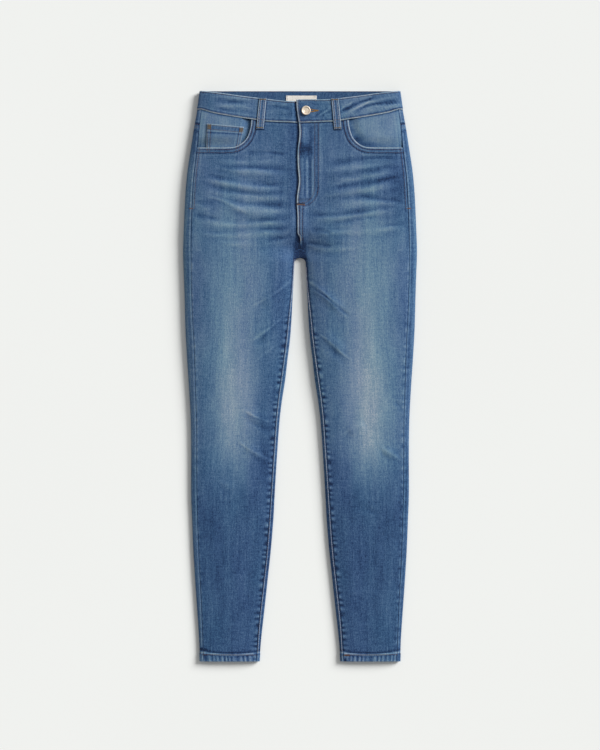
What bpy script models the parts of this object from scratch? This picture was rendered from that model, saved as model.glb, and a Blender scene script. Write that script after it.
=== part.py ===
"""Skinny jeans laid flat on their back: cut-and-sewn panels, each a thin wall of cloth.

Sizes are in millimetres until the meshes are made, in metres. Places on the garment are given as the
wearer's side (+1 left, -1 right), x out from the centre line, and down from the top of the waistband.
A piece's skin is a height over the table at depth 0; depth is how far a surface lies under that skin.
"""
import math

import bmesh
import bpy

MM = 0.001
LENGTH = 1027.0                 # waistband top to hem
TOP = LENGTH / 2                # row-frame y of the waistband top

# Cloth
CLOTH = 1.4                     # wall of a denim panel
BAND_CLOTH = 2.6                # waistband, several layers
BAND_PROUD = 0.8                # how far the waistband stands over the panels
POCKET_CLOTH = 1.2
SEAM_HALF = 0.15                # half of the gap between two pieces at a seam
ON_TOP = 0.3                    # gap under a piece that lies on another
HEM_TOP = LENGTH - 11.0
HEM_OUT = 0.5                   # the turned hem's extra cloth, outside and inside
HEM_IN = 0.9

# Fullness of the flat garment
ROUNDING = 2.6                  # how square the rounded sides are
WIDEST = ((556.0, 5.0), (756.0, 4.0))           # down, height of the widest point over the underside
FOLD = 6.0                      # width of the lower half of a side fold
SHOULDER_SHARE = 0.46           # part of a leg's width over which its side rounds up
LOOP_BED = 2.5                  # underside height over the back belt loops and waistband
LOOP_BED_END = (48.0, 74.0)     # down, where it falls to the next height
POCKET_BED = 1.7                # underside height over the back pockets
POCKET_BED_END = (252.0, 286.0)

# The fork between the legs
FORK_BASE = 309.6               # where the arch meets the legs' inner edges
FORK_HALF = 10.0                # arch half width
FORK_RISE = 9.0                 # arch height
FORK_REACH = 58.0               # how far the dip between the thighs runs up the front
FORK_FLOOR = 0.15               # height of the dip's floor, as a share of the fullness
FORK_FLOOR_END = 0.16

# Front closing
LAP = 4.5                       # how far each front reaches past the centre line
LAP_LIFT = 0.95                 # the over front rises and the under front sinks by this much
LAP_FADE = (5.5, 15.5)          # x over which that lift and drop fade out
LAP_END = (255.0, 267.0)        # down, where the lap narrows to a plain seam
LAP_LEVEL = 282.0               # down, where both fronts are level again
BAND_UNDERLAP = 18.0            # how far the waistband's right end runs under its left
BAND_OVER_LIFT = 0.6
BAND_OVER_FADE = (20.0, 30.0)
BAND_UNDER_DROP = 2.4
BAND_UNDER_FADE = (5.5, 14.0)

# down, half width of the garment at its side folds
SIDE_LINE = (
    (0.0, 180.0), (34.0, 185.0), (70.0, 191.5), (106.0, 197.0), (142.0, 202.5), (178.0, 206.0),
    (214.0, 208.0), (250.0, 209.5), (290.0, 210.8), (330.0, 209.5), (376.0, 208.0), (430.0, 206.5),
    (484.0, 203.4), (538.0, 199.8), (592.0, 197.0), (650.0, 196.2), (730.0, 196.2), (772.0, 194.6),
    (826.0, 192.4), (880.0, 189.2), (934.0, 185.4), (988.0, 181.8), (1027.0, 180.6))
# down, x of a leg's inner edge
INNER_LINE = (
    (FORK_BASE, FORK_HALF), (340.0, 11.7), (376.0, 13.5), (412.0, 15.3), (448.0, 18.0), (484.0, 22.5),
    (520.0, 26.6), (556.0, 32.2), (592.0, 36.6), (646.0, 40.6), (700.0, 44.0), (736.0, 46.0),
    (772.0, 48.0), (826.0, 52.4), (880.0, 58.2), (934.0, 64.0), (988.0, 70.0), (1027.0, 73.0))
# down, x of the side seam, which shows on the front
OUTSEAM = (
    (34.0, 177.0), (61.0, 180.9), (101.0, 184.5), (153.0, 190.8), (212.0, 194.4), (290.0, 196.2),
    (387.0, 194.4), (466.0, 190.4), (542.0, 188.2), (596.0, 186.5), (718.0, 185.9), (826.0, 182.7),
    (930.0, 177.5), (997.0, 175.0), (1027.0, 174.2))
# down, x of the inner leg seam below the fork
INSEAM = (
    (340.0, 14.3), (373.0, 17.4), (412.0, 21.6), (448.0, 25.2), (484.0, 29.9), (520.0, 34.8),
    (556.0, 39.8), (596.0, 43.9), (655.0, 47.9), (713.0, 51.8), (790.0, 56.9), (841.0, 61.2),
    (893.0, 67.0), (938.0, 72.0), (968.0, 74.9), (1000.0, 77.0), (1027.0, 78.4))
# down, height of the garment over the table
FULLNESS = (
    (0.0, 16.0), (38.0, 16.5), (100.0, 18.6), (200.0, 20.0), (290.0, 20.0), (380.0, 19.0),
    (484.0, 17.2), (560.0, 15.0), (630.0, 13.5), (740.0, 12.0), (850.0, 11.0), (960.0, 10.2),
    (1027.0, 10.0))
# x, down of the front waistband's upper edge, and of its seam to the fronts
BAND_TOP = (
    (0.0, 19.5), (24.0, 18.9), (52.0, 16.0), (77.0, 13.1), (107.0, 9.4), (137.0, 5.0), (166.0, 1.3),
    (180.0, 0.0))
BAND_SEAM = (
    (0.0, 55.0), (9.0, 54.9), (64.0, 52.4), (85.0, 49.1), (107.0, 46.1), (137.0, 41.0),
    (160.0, 37.0), (176.0, 34.1), (186.0, 34.0))
BACK_BAND_SEAM = (34.0, 38.0)   # down of the back waistband's seam at the side and at the centre
YOKE_SEAM = (58.0, 100.0)       # down of the yoke's lower seam at the side and at the centre
# x, down of the scoop pocket's edge
SCOOP = (
    (84.0, 49.6), (86.5, 64.0), (90.0, 75.5), (95.0, 84.5), (101.5, 92.5), (110.0, 98.5),
    (120.5, 102.0), (140.0, 102.8), (162.0, 102.6))
SCOOP_END = 102.4               # down where that edge meets the side seam
SCOOP_CENTRE = 120.0            # down at the centre front of the row that ends there
# x, down of the facing's hidden edge, and down of its row on the side seam
FACING = (
    (70.0, 52.0, 34.3), (72.0, 66.0, 46.0), (77.0, 82.0, 58.0), (85.0, 96.0, 72.0),
    (94.0, 108.0, 87.0), (104.0, 116.0, 102.4), (118.0, 122.0, 117.0))
FACING_CLEAR = 1.2              # room under the front panel's wall for what runs below it
FACING_RISE = (3.0, 21.0)       # the facing comes up to the skin this far from the scoop
FACING_COLUMNS = 10

# Coin pocket: x, down of its corners; the lower two run under the front
COIN_CORNERS = ((101.0, 65.5), (167.0, 59.4), (169.0, 111.0), (110.0, 111.0))
COIN_GAP = 0.8
COIN_CLOTH = 1.1

# Plain back pocket: x, down of its corners
BACK_POCKET = ((34.0, 122.0), (152.0, 112.0), (150.0, 215.0), (97.0, 246.0), (40.0, 224.0))

# Belt loops
LOOP_WIDE = 13.0
LOOP_FRONT_X = (66.0, 69.5)     # x of a front loop's middle at its upper and lower end
LOOP_BELOW = 15.0               # a loop ends this far below the waistband's seam
LOOP_STEP = (1.5, 6.0)          # below the seam, where a front loop comes down to the panel
LOOP_BACK_X = 112.0

# Button, zip and label
BUTTON_AT = (10.8, 36.4)
BUTTON_RADIUS = 8.4
BUTTON_HIGH = 3.6
ZIP_X = (-1.0, 14.0)
ZIP_DOWN = (62.0, 192.0)
ZIP_DEPTH = (2.75, 4.25)
LABEL_X = (-25.0, 30.0)
LABEL_DOWN = (8.0, 28.0)
LABEL_THICK = 1.0

# Rows of the leg pieces by the fork: down on the side seam, x and down on the inner leg seam, and the
# place on the fork's edge as an angle round its arch, or down on the leg's inner edge
FORK_ROWS = (
    (297.0, 0.0, 283.0, 0.0, None), (303.0, 6.2, 285.4, 30.0, None), (310.5, 10.2, 291.6, 60.0, None),
    (320.0, 12.1, 302.6, 90.0, None), (333.0, 13.2, 319.0, None, 322.0),
    (350.0, 14.3, 340.0, None, 342.0), (370.0, 17.0, 369.0, None, 369.0))
SEAT_ROWS = 14                  # rows between the scoop's end and the fork
THIGH_ROWS = 9
CALF_ROWS = 12
KNEE = 556.0
FRONT_COLUMNS = (0.0, 0.04, 0.10, 0.18, 0.28, 0.40, 0.54, 0.68, 0.81, 0.92, 1.0)
BROW_COLUMNS = (0.0, 0.45, 0.8, 0.95, 1.0)      # side seam out to the widest point
FOLD_ANGLES = (30.0, 60.0, 90.0)                # round the lower half of a fold
UNDER_COLUMNS = 6
INNER_COLUMNS = (0.15, 0.5, 1.0)                # inner edge up to the inner leg seam
BAND_COLUMNS = (-8.0, 2.0, 5.5, 14.0, 20.0, 30.0, 52.0, 77.0, 107.0, 137.0, 157.0, 168.0, 176.0)
BAND_BROW_COLUMNS = (0.6, 0.9, 1.0)             # last of those out to the widest point
BAND_ROWS = (0.0, 0.5, 1.0)                     # waistband's upper edge to its seam

# Largest folds: side, x and down of both ends, half width, height
FOLDS = (
    (-1, 20.0, 156.0, 150.0, 140.0, 10.0, 1.2), (-1, 22.0, 190.0, 165.0, 160.0, 10.0, 1.4),
    (-1, 16.0, 236.0, 150.0, 204.0, 11.0, 1.4), (1, 34.0, 154.0, 160.0, 138.0, 10.0, 1.2),
    (1, 30.0, 196.0, 170.0, 152.0, 10.0, 1.4), (1, 18.0, 240.0, 158.0, 196.0, 11.0, 1.4),
    (-1, 18.0, 342.0, 72.0, 388.0, 9.0, 1.6), (-1, 34.0, 409.0, 74.0, 450.0, 9.0, 1.3),
    (1, 22.0, 348.0, 78.0, 398.0, 9.0, 2.0), (1, 38.0, 434.0, 84.0, 476.0, 9.0, 1.5),
    (-1, 96.0, 580.0, 56.0, 596.0, 9.0, 1.2), (-1, 100.0, 637.0, 66.0, 660.0, 9.0, 1.1),
    (1, 120.0, 600.0, 84.0, 616.0, 9.0, 1.0), (1, 150.0, 644.0, 178.0, 660.0, 9.0, 1.1))

DENIM = (0.075, 0.16, 0.32)
DENIM_DEEP = (0.045, 0.10, 0.23)
CREAM = (0.78, 0.76, 0.68)
SILVER = (0.72, 0.68, 0.60)
TAPE = (0.05, 0.07, 0.12)


def clear_scene():
    for thing in list(bpy.data.objects):
        bpy.data.objects.remove(thing, do_unlink=True)


def make_collection():
    group = bpy.data.collections.new("skinny_jeans")
    bpy.context.scene.collection.children.link(group)
    return group


def make_material(name, colour, roughness, metallic=0.0):
    material = bpy.data.materials.new(name)
    material.use_nodes = True
    shader = material.node_tree.nodes["Principled BSDF"]
    shader.inputs["Base Color"].default_value = (*colour, 1.0)
    shader.inputs["Roughness"].default_value = roughness
    shader.inputs["Metallic"].default_value = metallic
    return material


def ease(t):
    """Smooth step from 0 to 1."""
    t = min(max(t, 0.0), 1.0)
    return t * t * (3.0 - 2.0 * t)


def mix(a, b, t):
    return a + (b - a) * t


def fade(place, ends):
    """1 before the first end, 0 after the second."""
    return 1.0 - ease((place - ends[0]) / (ends[1] - ends[0]))


def along(table, place):
    """Second column of a table at a place on its first, on a smooth curve through the rows."""
    if place <= table[0][0]:
        return table[0][1]
    if place >= table[-1][0]:
        return table[-1][1]
    k = next(i for i in range(len(table) - 1) if table[i + 1][0] >= place)
    (p0, v0), (p1, v1) = table[k], table[k + 1]
    span = p1 - p0
    slope_in = slope_out = (v1 - v0) / span
    if k > 0:
        slope_in = (v1 - table[k - 1][1]) / (p1 - table[k - 1][0])
    if k + 2 < len(table):
        slope_out = (table[k + 2][1] - v0) / (table[k + 2][0] - p0)
    t = (place - p0) / span
    return (mix(v0, v1, t * t * (3 - 2 * t))
            + span * t * (1 - t) * ((1 - t) * slope_in - t * slope_out))


def shoulder(t):
    """Rise of a rounded side, from 0 with an upright start to 1 where it is level."""
    t = min(max(t, 0.0), 1.0)
    return (1.0 - (1.0 - t) ** ROUNDING) ** (1.0 / ROUNDING)


def bed(down):
    """Height of the underside: it lies on the loops and pockets above, on the table below."""
    if down > HEM_TOP:
        return HEM_OUT
    return mix(POCKET_BED, LOOP_BED, fade(down, LOOP_BED_END)) * fade(down, POCKET_BED_END)


def shoulder_width(down):
    down = max(down, FORK_BASE)
    return SHOULDER_SHARE * (along(SIDE_LINE, down) - along(INNER_LINE, down))


def fork_rise(x, down, depth):
    """How far the skin has risen from the fork, 0 at its edge to 1 where the dip has ended."""
    width = shoulder_width(down)
    if down >= FORK_BASE:
        return shoulder((x - along(INNER_LINE, down) - depth) / width)
    x = abs(x)
    above = FORK_BASE - down
    near = math.hypot(x / (FORK_HALF + depth), above / (FORK_RISE + depth))
    far = math.hypot(x / (FORK_HALF + width), above / (FORK_RISE + FORK_REACH))
    if far >= 1.0:
        return 1.0
    if near <= 1.0:
        return 0.0
    t = (near - 1.0) * far / (near - far)
    upright = (above / (FORK_RISE + FORK_REACH) / far) ** 2
    dip = (FORK_FLOOR * shoulder(t / FORK_FLOOR_END)
           + (1.0 - FORK_FLOOR) * ease((t - FORK_FLOOR_END) / (1.0 - FORK_FLOOR_END)))
    return mix(shoulder(t), dip, upright)


def fold_height(side, x, down):
    """Sum of the soft ridges at a place."""
    total = 0.0
    for fold_side, x0, d0, x1, d1, half, high in FOLDS:
        if fold_side != side:
            continue
        length = math.hypot(x1 - x0, d1 - d0)
        t = ((x - x0) * (x1 - x0) + (down - d0) * (d1 - d0)) / length ** 2
        if 0.0 < t < 1.0:
            off = ((x - x0) * (d1 - d0) - (down - d0) * (x1 - x0)) / length / half
            total += high * math.exp(-off * off) * ease(t / 0.3) * ease((1.0 - t) / 0.3)
    return total


def height(side, x, down, depth=0.0):
    """Height of the front skin, or of a surface that lies a depth under it."""
    low = bed(down) + along(WIDEST, down)
    round_side = shoulder((along(SIDE_LINE, down) - depth - x) / shoulder_width(down))
    rise = round_side * fork_rise(x, down, depth)
    crown = along(FULLNESS, down) - depth - low
    return low + (crown + fold_height(side, x, down)) * rise


def widest(down):
    """Height of the side folds' widest point."""
    return height(1, along(SIDE_LINE, down), down)


def side_fold(down, depth, angle):
    """Place and height on the lower half of a leg's outer fold; 0 is widest, 90 is underneath."""
    turn = math.radians(angle)
    low = bed(down) + depth
    x = along(SIDE_LINE, down) - FOLD + (FOLD - depth) * math.cos(turn)
    return x, down, mix(widest(down), low, math.sin(turn)) if angle < 90 else low


def fork_edge(row, margin):
    """Place on the fork's edge at a margin into the cloth."""
    _, _, _, angle, down = row
    if angle is None:
        return along(INNER_LINE, down) + margin, down
    turn = math.radians(angle)
    x = (FORK_HALF + margin) * math.sin(turn)
    return max(x, SEAM_HALF), FORK_BASE - (FORK_RISE + margin) * math.cos(turn)


def leg_rows():
    """Rows from the fork to the hem, in the columns of FORK_ROWS."""
    rows = list(FORK_ROWS)
    last = rows[-1]
    downs = [mix(last[0], KNEE, i / THIGH_ROWS) for i in range(1, THIGH_ROWS + 1)]
    downs += [mix(KNEE, HEM_TOP - 12.0, i / CALF_ROWS) for i in range(1, CALF_ROWS + 1)]
    downs += [HEM_TOP - 0.2, HEM_TOP + 0.2, LENGTH]
    rows += [(down, along(INSEAM, down), down, None, down) for down in downs]
    return rows


def seam_place(rows, k, aside):
    """Place on the inner leg seam of row k, moved aside towards the back."""
    if k == 0:
        return SEAM_HALF, rows[0][2] + aside
    before, after = rows[k - 1], rows[min(k + 1, len(rows) - 1)]
    dx, dd = after[1] - before[1], after[2] - before[2]
    length = math.hypot(dx, dd)
    return rows[k][1] - dd / length * aside, rows[k][2] + dx / length * aside


def outseam(down, aside):
    return along(OUTSEAM, down) + aside


def hem_depth(down, depth):
    """The wall is thicker in the hem, outside and inside."""
    if down <= HEM_TOP:
        return depth
    return depth - HEM_OUT if depth <= 0 else depth + HEM_IN


def lap_depth(side, x, down):
    """Extra depth by the centre front, where the left front lies over the right."""
    return -side * LAP_LIFT * fade(x, LAP_FADE) * fade(down, (LAP_END[1], LAP_LEVEL))


def front_edge(down):
    """x of a front's centre edge: past the centre line at the lap, on it below."""
    return SEAM_HALF - (LAP + SEAM_HALF) * fade(down, LAP_END)


def front_lines():
    """Both ends of every front row: centre front or inner seam, and scoop or side seam."""
    legs = leg_rows()
    scoop = [(x, down) for x, down in SCOOP] + [(outseam(SCOOP_END, -SEAM_HALF), SCOOP_END)]
    lines = []
    for k, (x, down) in enumerate(scoop):
        centre = mix(along(BAND_SEAM, 0.0) + SEAM_HALF, SCOOP_CENTRE, k / (len(scoop) - 1))
        lines.append((front_edge(centre), centre, x, down))
    for k in range(1, SEAT_ROWS):
        share = k / SEAT_ROWS
        centre = mix(SCOOP_CENTRE, legs[0][2] - SEAM_HALF, share)
        down = mix(SCOOP_END, legs[0][0], share)
        lines.append((front_edge(centre), centre, outseam(down, -SEAM_HALF), down))
    for k, row in enumerate(legs):
        x, down = seam_place(legs, k, -SEAM_HALF)
        lines.append((x, down, outseam(row[0], -SEAM_HALF), row[0]))
    return lines


def front_grid(side, depth):
    """Points of a front panel's surface, row by row."""
    grid = []
    for number, (x0, d0, x1, d1) in enumerate(front_lines()):
        row = []
        for share in FRONT_COLUMNS:
            x, down = mix(x0, x1, share), mix(d0, d1, share)
            if number == 0:
                down = along(BAND_SEAM, x) + SEAM_HALF
            level = hem_depth(down, depth) + lap_depth(side, x, down)
            row.append((x, down, height(side, x, down, level)))
        grid.append(row)
    return grid


def wrap(side, side_down, far_x, far_down, depth):
    """From the side seam round the outer fold and along the underside to a far end."""
    seam = outseam(side_down, SEAM_HALF)
    edge = along(SIDE_LINE, side_down)
    points = []
    for share in BROW_COLUMNS:
        x = mix(seam, edge - depth, share)
        points.append((x, side_down, height(side, x, side_down, depth)))
    points += [side_fold(side_down, depth, angle) for angle in FOLD_ANGLES]
    for k in range(1, UNDER_COLUMNS + 1):
        share = k / UNDER_COLUMNS
        x, down = mix(edge - FOLD, far_x, share), mix(side_down, far_down, share)
        points.append((x, down, bed(down) + depth))
    return points


def back_grid(side, depth):
    """Points of a back panel: rows round the seat, then rows round the whole leg."""
    legs = leg_rows()
    first_x, first_down = fork_edge(legs[0], FOLD)
    sides = [mix(YOKE_SEAM[0] + SEAM_HALF, SCOOP_END, k / 4) for k in range(4)]
    sides += [mix(SCOOP_END, legs[0][0], k / SEAT_ROWS) for k in range(SEAT_ROWS)]
    grid = []
    for k, side_down in enumerate(sides):
        centre = mix(YOKE_SEAM[1] + SEAM_HALF, first_down, k / len(sides))
        grid.append(wrap(side, side_down, SEAM_HALF, centre, depth))
    for k, row in enumerate(legs):
        level = hem_depth(row[0], depth)
        far_x, far_down = fork_edge(row, FOLD)
        points = wrap(side, row[0], far_x, far_down, level)
        low = bed(far_down) + level
        for angle in reversed(FOLD_ANGLES[:-1]):
            turn = math.radians(angle)
            x, down = fork_edge(row, FOLD - (FOLD - level) * math.cos(turn))
            points.append((x, down, mix(widest(down), low, math.sin(turn))))
        edge_x, edge_down = fork_edge(row, level)
        points.append((edge_x, edge_down, widest(edge_down)))
        seam_x, seam_down = seam_place(legs, k, SEAM_HALF)
        for share in INNER_COLUMNS:
            x, down = mix(edge_x, seam_x, share), mix(edge_down, seam_down, share)
            points.append((x, down, height(side, x, down, level)))
        grid.append(points)
    return grid


def yoke_grid(side, depth):
    """Points of a yoke, from the waistband's seam to its own lower seam."""
    rows = []
    for share in (0.0, 0.5, 1.0):
        side_down = mix(BACK_BAND_SEAM[0] + SEAM_HALF, YOKE_SEAM[0] - SEAM_HALF, share)
        centre = mix(BACK_BAND_SEAM[1] + SEAM_HALF, YOKE_SEAM[1] - SEAM_HALF, share)
        rows.append(wrap(side, side_down, SEAM_HALF, centre, depth))
    return rows


def band_half(side, depth, share):
    """Points of the waistband's half from its front end round to the centre back, at one height."""
    end = -LAP if side > 0 else -BAND_UNDERLAP
    points = []
    for x in [end] + [x for x in BAND_COLUMNS if x > end]:
        down = mix(along(BAND_TOP, abs(x)), along(BAND_SEAM, abs(x)) - SEAM_HALF, share)
        if side > 0:
            level = depth - BAND_OVER_LIFT * fade(x, BAND_OVER_FADE)
        else:
            level = depth + BAND_UNDER_DROP * fade(x, BAND_UNDER_FADE)
        points.append((x, down, height(side, x, down, level)))
    down = mix(0.0, BACK_BAND_SEAM[0] - SEAM_HALF, share)
    edge = along(SIDE_LINE, down)
    for part in BAND_BROW_COLUMNS:
        x = mix(BAND_COLUMNS[-1], edge - depth, part)
        points.append((x, down, height(side, x, down, depth)))
    points += [side_fold(down, depth, angle) for angle in FOLD_ANGLES]
    for k in range(1, UNDER_COLUMNS + 1):
        part = k / UNDER_COLUMNS
        low = mix(down, mix(0.0, BACK_BAND_SEAM[1] - SEAM_HALF, share), part)
        points.append((mix(edge - FOLD, 0.0, part), low, bed(low) + depth))
    return points


def band_grid(depth):
    """Points of the whole waistband, as signed x."""
    grid = []
    for share in BAND_ROWS:
        right = [(-x, down, z) for x, down, z in band_half(-1, depth, share)]
        left = band_half(1, depth, share)
        grid.append(right + left[-2::-1])
    return grid


def scoop_distance(x, down):
    """Distance from the scoop's edge: more than 0 in the pocket's mouth, 0 under the front."""
    edge = list(SCOOP) + [(outseam(SCOOP_END, 0.0), SCOOP_END)]
    if x < edge[0][0] or down > along(edge, x):
        return 0.0
    best = math.inf
    for (x0, d0), (x1, d1) in zip(edge, edge[1:]):
        span = (x1 - x0) ** 2 + (d1 - d0) ** 2
        t = min(max(((x - x0) * (x1 - x0) + (down - d0) * (d1 - d0)) / span, 0.0), 1.0)
        best = min(best, math.hypot(x - mix(x0, x1, t), down - mix(d0, d1, t)))
    return best


def facing_depth(side, x, down):
    """Depth of the facing's face: under the front by the scoop, up at the skin by the side seam."""
    drop = CLOTH + FACING_CLEAR
    if side < 0:
        drop += COIN_CLOTH + COIN_GAP
    return drop * fade(scoop_distance(x, down), FACING_RISE)


def facing_grid(side, depth):
    """Points of a pocket facing, from its hidden edge to the side seam."""
    grid = []
    for number, (x0, d0, side_down) in enumerate(FACING):
        x1 = outseam(side_down, -SEAM_HALF)
        row = []
        for k in range(FACING_COLUMNS + 1):
            share = k / FACING_COLUMNS
            x, down = mix(x0, x1, share), mix(d0, side_down, share)
            if number == 0:
                down = along(BAND_SEAM, x) + SEAM_HALF
            row.append((x, down, height(side, x, down, depth + facing_depth(side, x, down))))
        grid.append(row)
    return grid


def patch_grid(corners, columns, rows, level):
    """Points over four corners, at the height that level gives for a place."""
    grid = []
    for i in range(rows + 1):
        v = i / rows
        row = []
        for j in range(columns + 1):
            u = j / columns
            (ax, ad), (bx, bd), (cx, cd), (dx, dd) = corners
            x = mix(mix(ax, bx, u), mix(dx, cx, u), v)
            down = mix(mix(ad, bd, u), mix(dd, cd, u), v)
            row.append((x, down, level(x, down)))
        grid.append(row)
    return grid


def coin_grid(lift):
    def level(x, down):
        return height(-1, x, down, facing_depth(-1, x, down) - lift)
    return patch_grid(COIN_CORNERS, 6, 5, level)


def front_loop_grid(side, lift):
    """Points of a front belt loop: along the waistband, then down on to the front panel."""
    top = along(BAND_TOP, LOOP_FRONT_X[0]) - 0.5
    seam = along(BAND_SEAM, LOOP_FRONT_X[1])
    steps = [seam + step for step in (0.0,) + LOOP_STEP + (LOOP_BELOW,)]
    downs = [top, mix(top, seam, 1 / 3), mix(top, seam, 2 / 3)] + steps
    grid = []
    for down in downs:
        middle = mix(*LOOP_FRONT_X, (down - top) / (downs[-1] - top))
        proud = BAND_PROUD * fade(down - seam, LOOP_STEP)
        grid.append([(x, down, height(side, x, down, -proud - lift))
                     for x in (middle - LOOP_WIDE / 2, middle, middle + LOOP_WIDE / 2)])
    return grid


def zip_grid(depth):
    corners = ((ZIP_X[0], ZIP_DOWN[0]), (ZIP_X[1], ZIP_DOWN[0]),
               (ZIP_X[1], ZIP_DOWN[1]), (ZIP_X[0], ZIP_DOWN[1]))
    return patch_grid(corners, 2, 10, lambda x, down: height(1, x, down, depth))


def shell(group, name, side, outer, inner, material):
    """Closed wall between two like grids of points; a row may be longer than the one before it.

    Both surfaces are cut along the same diagonals, so the wall keeps its thickness.
    """
    mesh = bmesh.new()
    skins = []
    for grid in (outer, inner):
        skins.append([[mesh.verts.new((side * x * MM, (TOP - down) * MM, z * MM)) for x, down, z in row]
                      for row in grid])
    rims = {}
    for upper, lower in zip(range(len(outer)), range(1, len(outer))):
        for j in range(min(len(outer[upper]), len(outer[lower])) - 1):
            loop = [(upper, j), (upper, j + 1), (lower, j + 1), (lower, j)]
            for corners in (loop[:3], [loop[0], loop[2], loop[3]]):
                mesh.faces.new([skins[0][r][c] for r, c in corners])
                mesh.faces.new([skins[1][r][c] for r, c in reversed(corners)])
            for start, end in zip(loop, loop[1:] + loop[:1]):
                if (end, start) in rims:
                    del rims[(end, start)]
                else:
                    rims[(start, end)] = True
    for (r0, c0), (r1, c1) in rims:
        mesh.faces.new([skins[0][r1][c1], skins[0][r0][c0], skins[1][r0][c0]])
        mesh.faces.new([skins[0][r1][c1], skins[1][r0][c0], skins[1][r1][c1]])
    bmesh.ops.recalc_face_normals(mesh, faces=mesh.faces)
    return add_object(group, name, mesh, material)


def add_object(group, name, mesh, material):
    data = bpy.data.meshes.new(name)
    mesh.to_mesh(data)
    mesh.free()
    data.materials.append(material)
    thing = bpy.data.objects.new(name, data)
    group.objects.link(thing)
    return thing


def plate(group, name, corners, low, high, material):
    """Flat plate over corners given as x, down."""
    mesh = bmesh.new()
    face = mesh.faces.new([mesh.verts.new((x * MM, (TOP - down) * MM, low * MM)) for x, down in corners])
    raised = bmesh.ops.extrude_face_region(mesh, geom=[face])["geom"]
    verts = [item for item in raised if isinstance(item, bmesh.types.BMVert)]
    bmesh.ops.translate(mesh, verts=verts, vec=(0.0, 0.0, (high - low) * MM))
    bmesh.ops.recalc_face_normals(mesh, faces=mesh.faces)
    return add_object(group, name, mesh, material)


def make_button(group, material):
    """Turned tack button with a raised rim, lying on the waistband's over end."""
    outline = ((0.0, 0.62), (0.45, 0.62), (0.62, 0.78), (0.80, 1.0), (0.93, 0.92), (1.0, 0.6),
               (1.0, 0.3), (0.9, 0.0), (0.0, 0.0))
    mesh = bmesh.new()
    verts = [mesh.verts.new((r * BUTTON_RADIUS * MM, 0.0, z * BUTTON_HIGH * MM)) for r, z in outline]
    for start, end in zip(verts, verts[1:]):
        mesh.edges.new((start, end))
    button = add_object(group, "button", mesh, material)
    turn = button.modifiers.new("turned", "SCREW")
    turn.steps = turn.render_steps = 24
    turn.use_merge_vertices = True
    turn.merge_threshold = 0.00001
    turn.use_smooth_shade = True
    x, down = BUTTON_AT
    lift = BAND_PROUD + BAND_OVER_LIFT + ON_TOP
    above = height(1, x, down - BUTTON_RADIUS, -lift)
    below = height(1, x, down + BUTTON_RADIUS, -lift)
    button.location = (x * MM, (TOP - down) * MM, (above + below) / 2 * MM)
    button.rotation_euler = (math.atan2(above - below, 2 * BUTTON_RADIUS), 0.0, 0.0)
    return button


def make_side(group, side, denim, deep):
    """Panels and trims of one side."""
    name = "left" if side > 0 else "right"
    shell(group, "front_" + name, side, front_grid(side, 0.0), front_grid(side, CLOTH), denim)
    shell(group, "back_" + name, side, back_grid(side, 0.0), back_grid(side, CLOTH), denim)
    shell(group, "yoke_" + name, side, yoke_grid(side, 0.0), yoke_grid(side, CLOTH), denim)
    shell(group, "pocket_facing_" + name, side, facing_grid(side, 0.0),
          facing_grid(side, POCKET_CLOTH), deep)
    shell(group, "belt_loop_front_" + name, side, front_loop_grid(side, ON_TOP + CLOTH),
          front_loop_grid(side, ON_TOP), denim)
    pocket = [(side * x, down) for x, down in BACK_POCKET]
    plate(group, "back_pocket_" + name, pocket, 0.0, CLOTH, denim)
    back_loop(group, "belt_loop_back_" + name, side * LOOP_BACK_X, denim)


def back_loop(group, name, x, material):
    half, low = LOOP_WIDE / 2, BACK_BAND_SEAM[1] + LOOP_BELOW
    corners = ((x - half, 0.0), (x + half, 0.0), (x + half, low), (x - half, low))
    plate(group, name, corners, 0.0, CLOTH, material)


def main():
    clear_scene()
    group = make_collection()
    denim = make_material("denim", DENIM, 0.85)
    deep = make_material("denim_deep", DENIM_DEEP, 0.88)
    for side in (-1, 1):
        make_side(group, side, denim, deep)
    back_loop(group, "belt_loop_centre_back", 0.0, denim)
    shell(group, "waistband", 1, band_grid(-BAND_PROUD), band_grid(BAND_CLOTH - BAND_PROUD), denim)
    shell(group, "coin_pocket", -1, coin_grid(COIN_GAP + COIN_CLOTH), coin_grid(COIN_GAP), denim)
    shell(group, "zip", 1, zip_grid(ZIP_DEPTH[0]), zip_grid(ZIP_DEPTH[1]),
          make_material("zip_tape", TAPE, 0.8))
    inner = LOOP_BED + BAND_CLOTH - BAND_PROUD + ON_TOP
    label = [(LABEL_X[0], LABEL_DOWN[0]), (LABEL_X[1], LABEL_DOWN[0]),
             (LABEL_X[1], LABEL_DOWN[1]), (LABEL_X[0], LABEL_DOWN[1])]
    plate(group, "label", label, inner, inner + LABEL_THICK, make_material("cream_label", CREAM, 0.9))
    make_button(group, make_material("button_metal", SILVER, 0.35, 0.8))


main()
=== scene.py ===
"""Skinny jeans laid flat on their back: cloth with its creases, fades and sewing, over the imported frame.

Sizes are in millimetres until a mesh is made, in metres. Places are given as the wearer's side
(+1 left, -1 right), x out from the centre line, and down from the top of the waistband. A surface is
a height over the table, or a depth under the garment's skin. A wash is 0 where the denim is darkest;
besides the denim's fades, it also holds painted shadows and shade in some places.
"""
import math

import bpy
import numpy as np
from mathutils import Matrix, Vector
from mathutils.bvhtree import BVHTree


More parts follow.
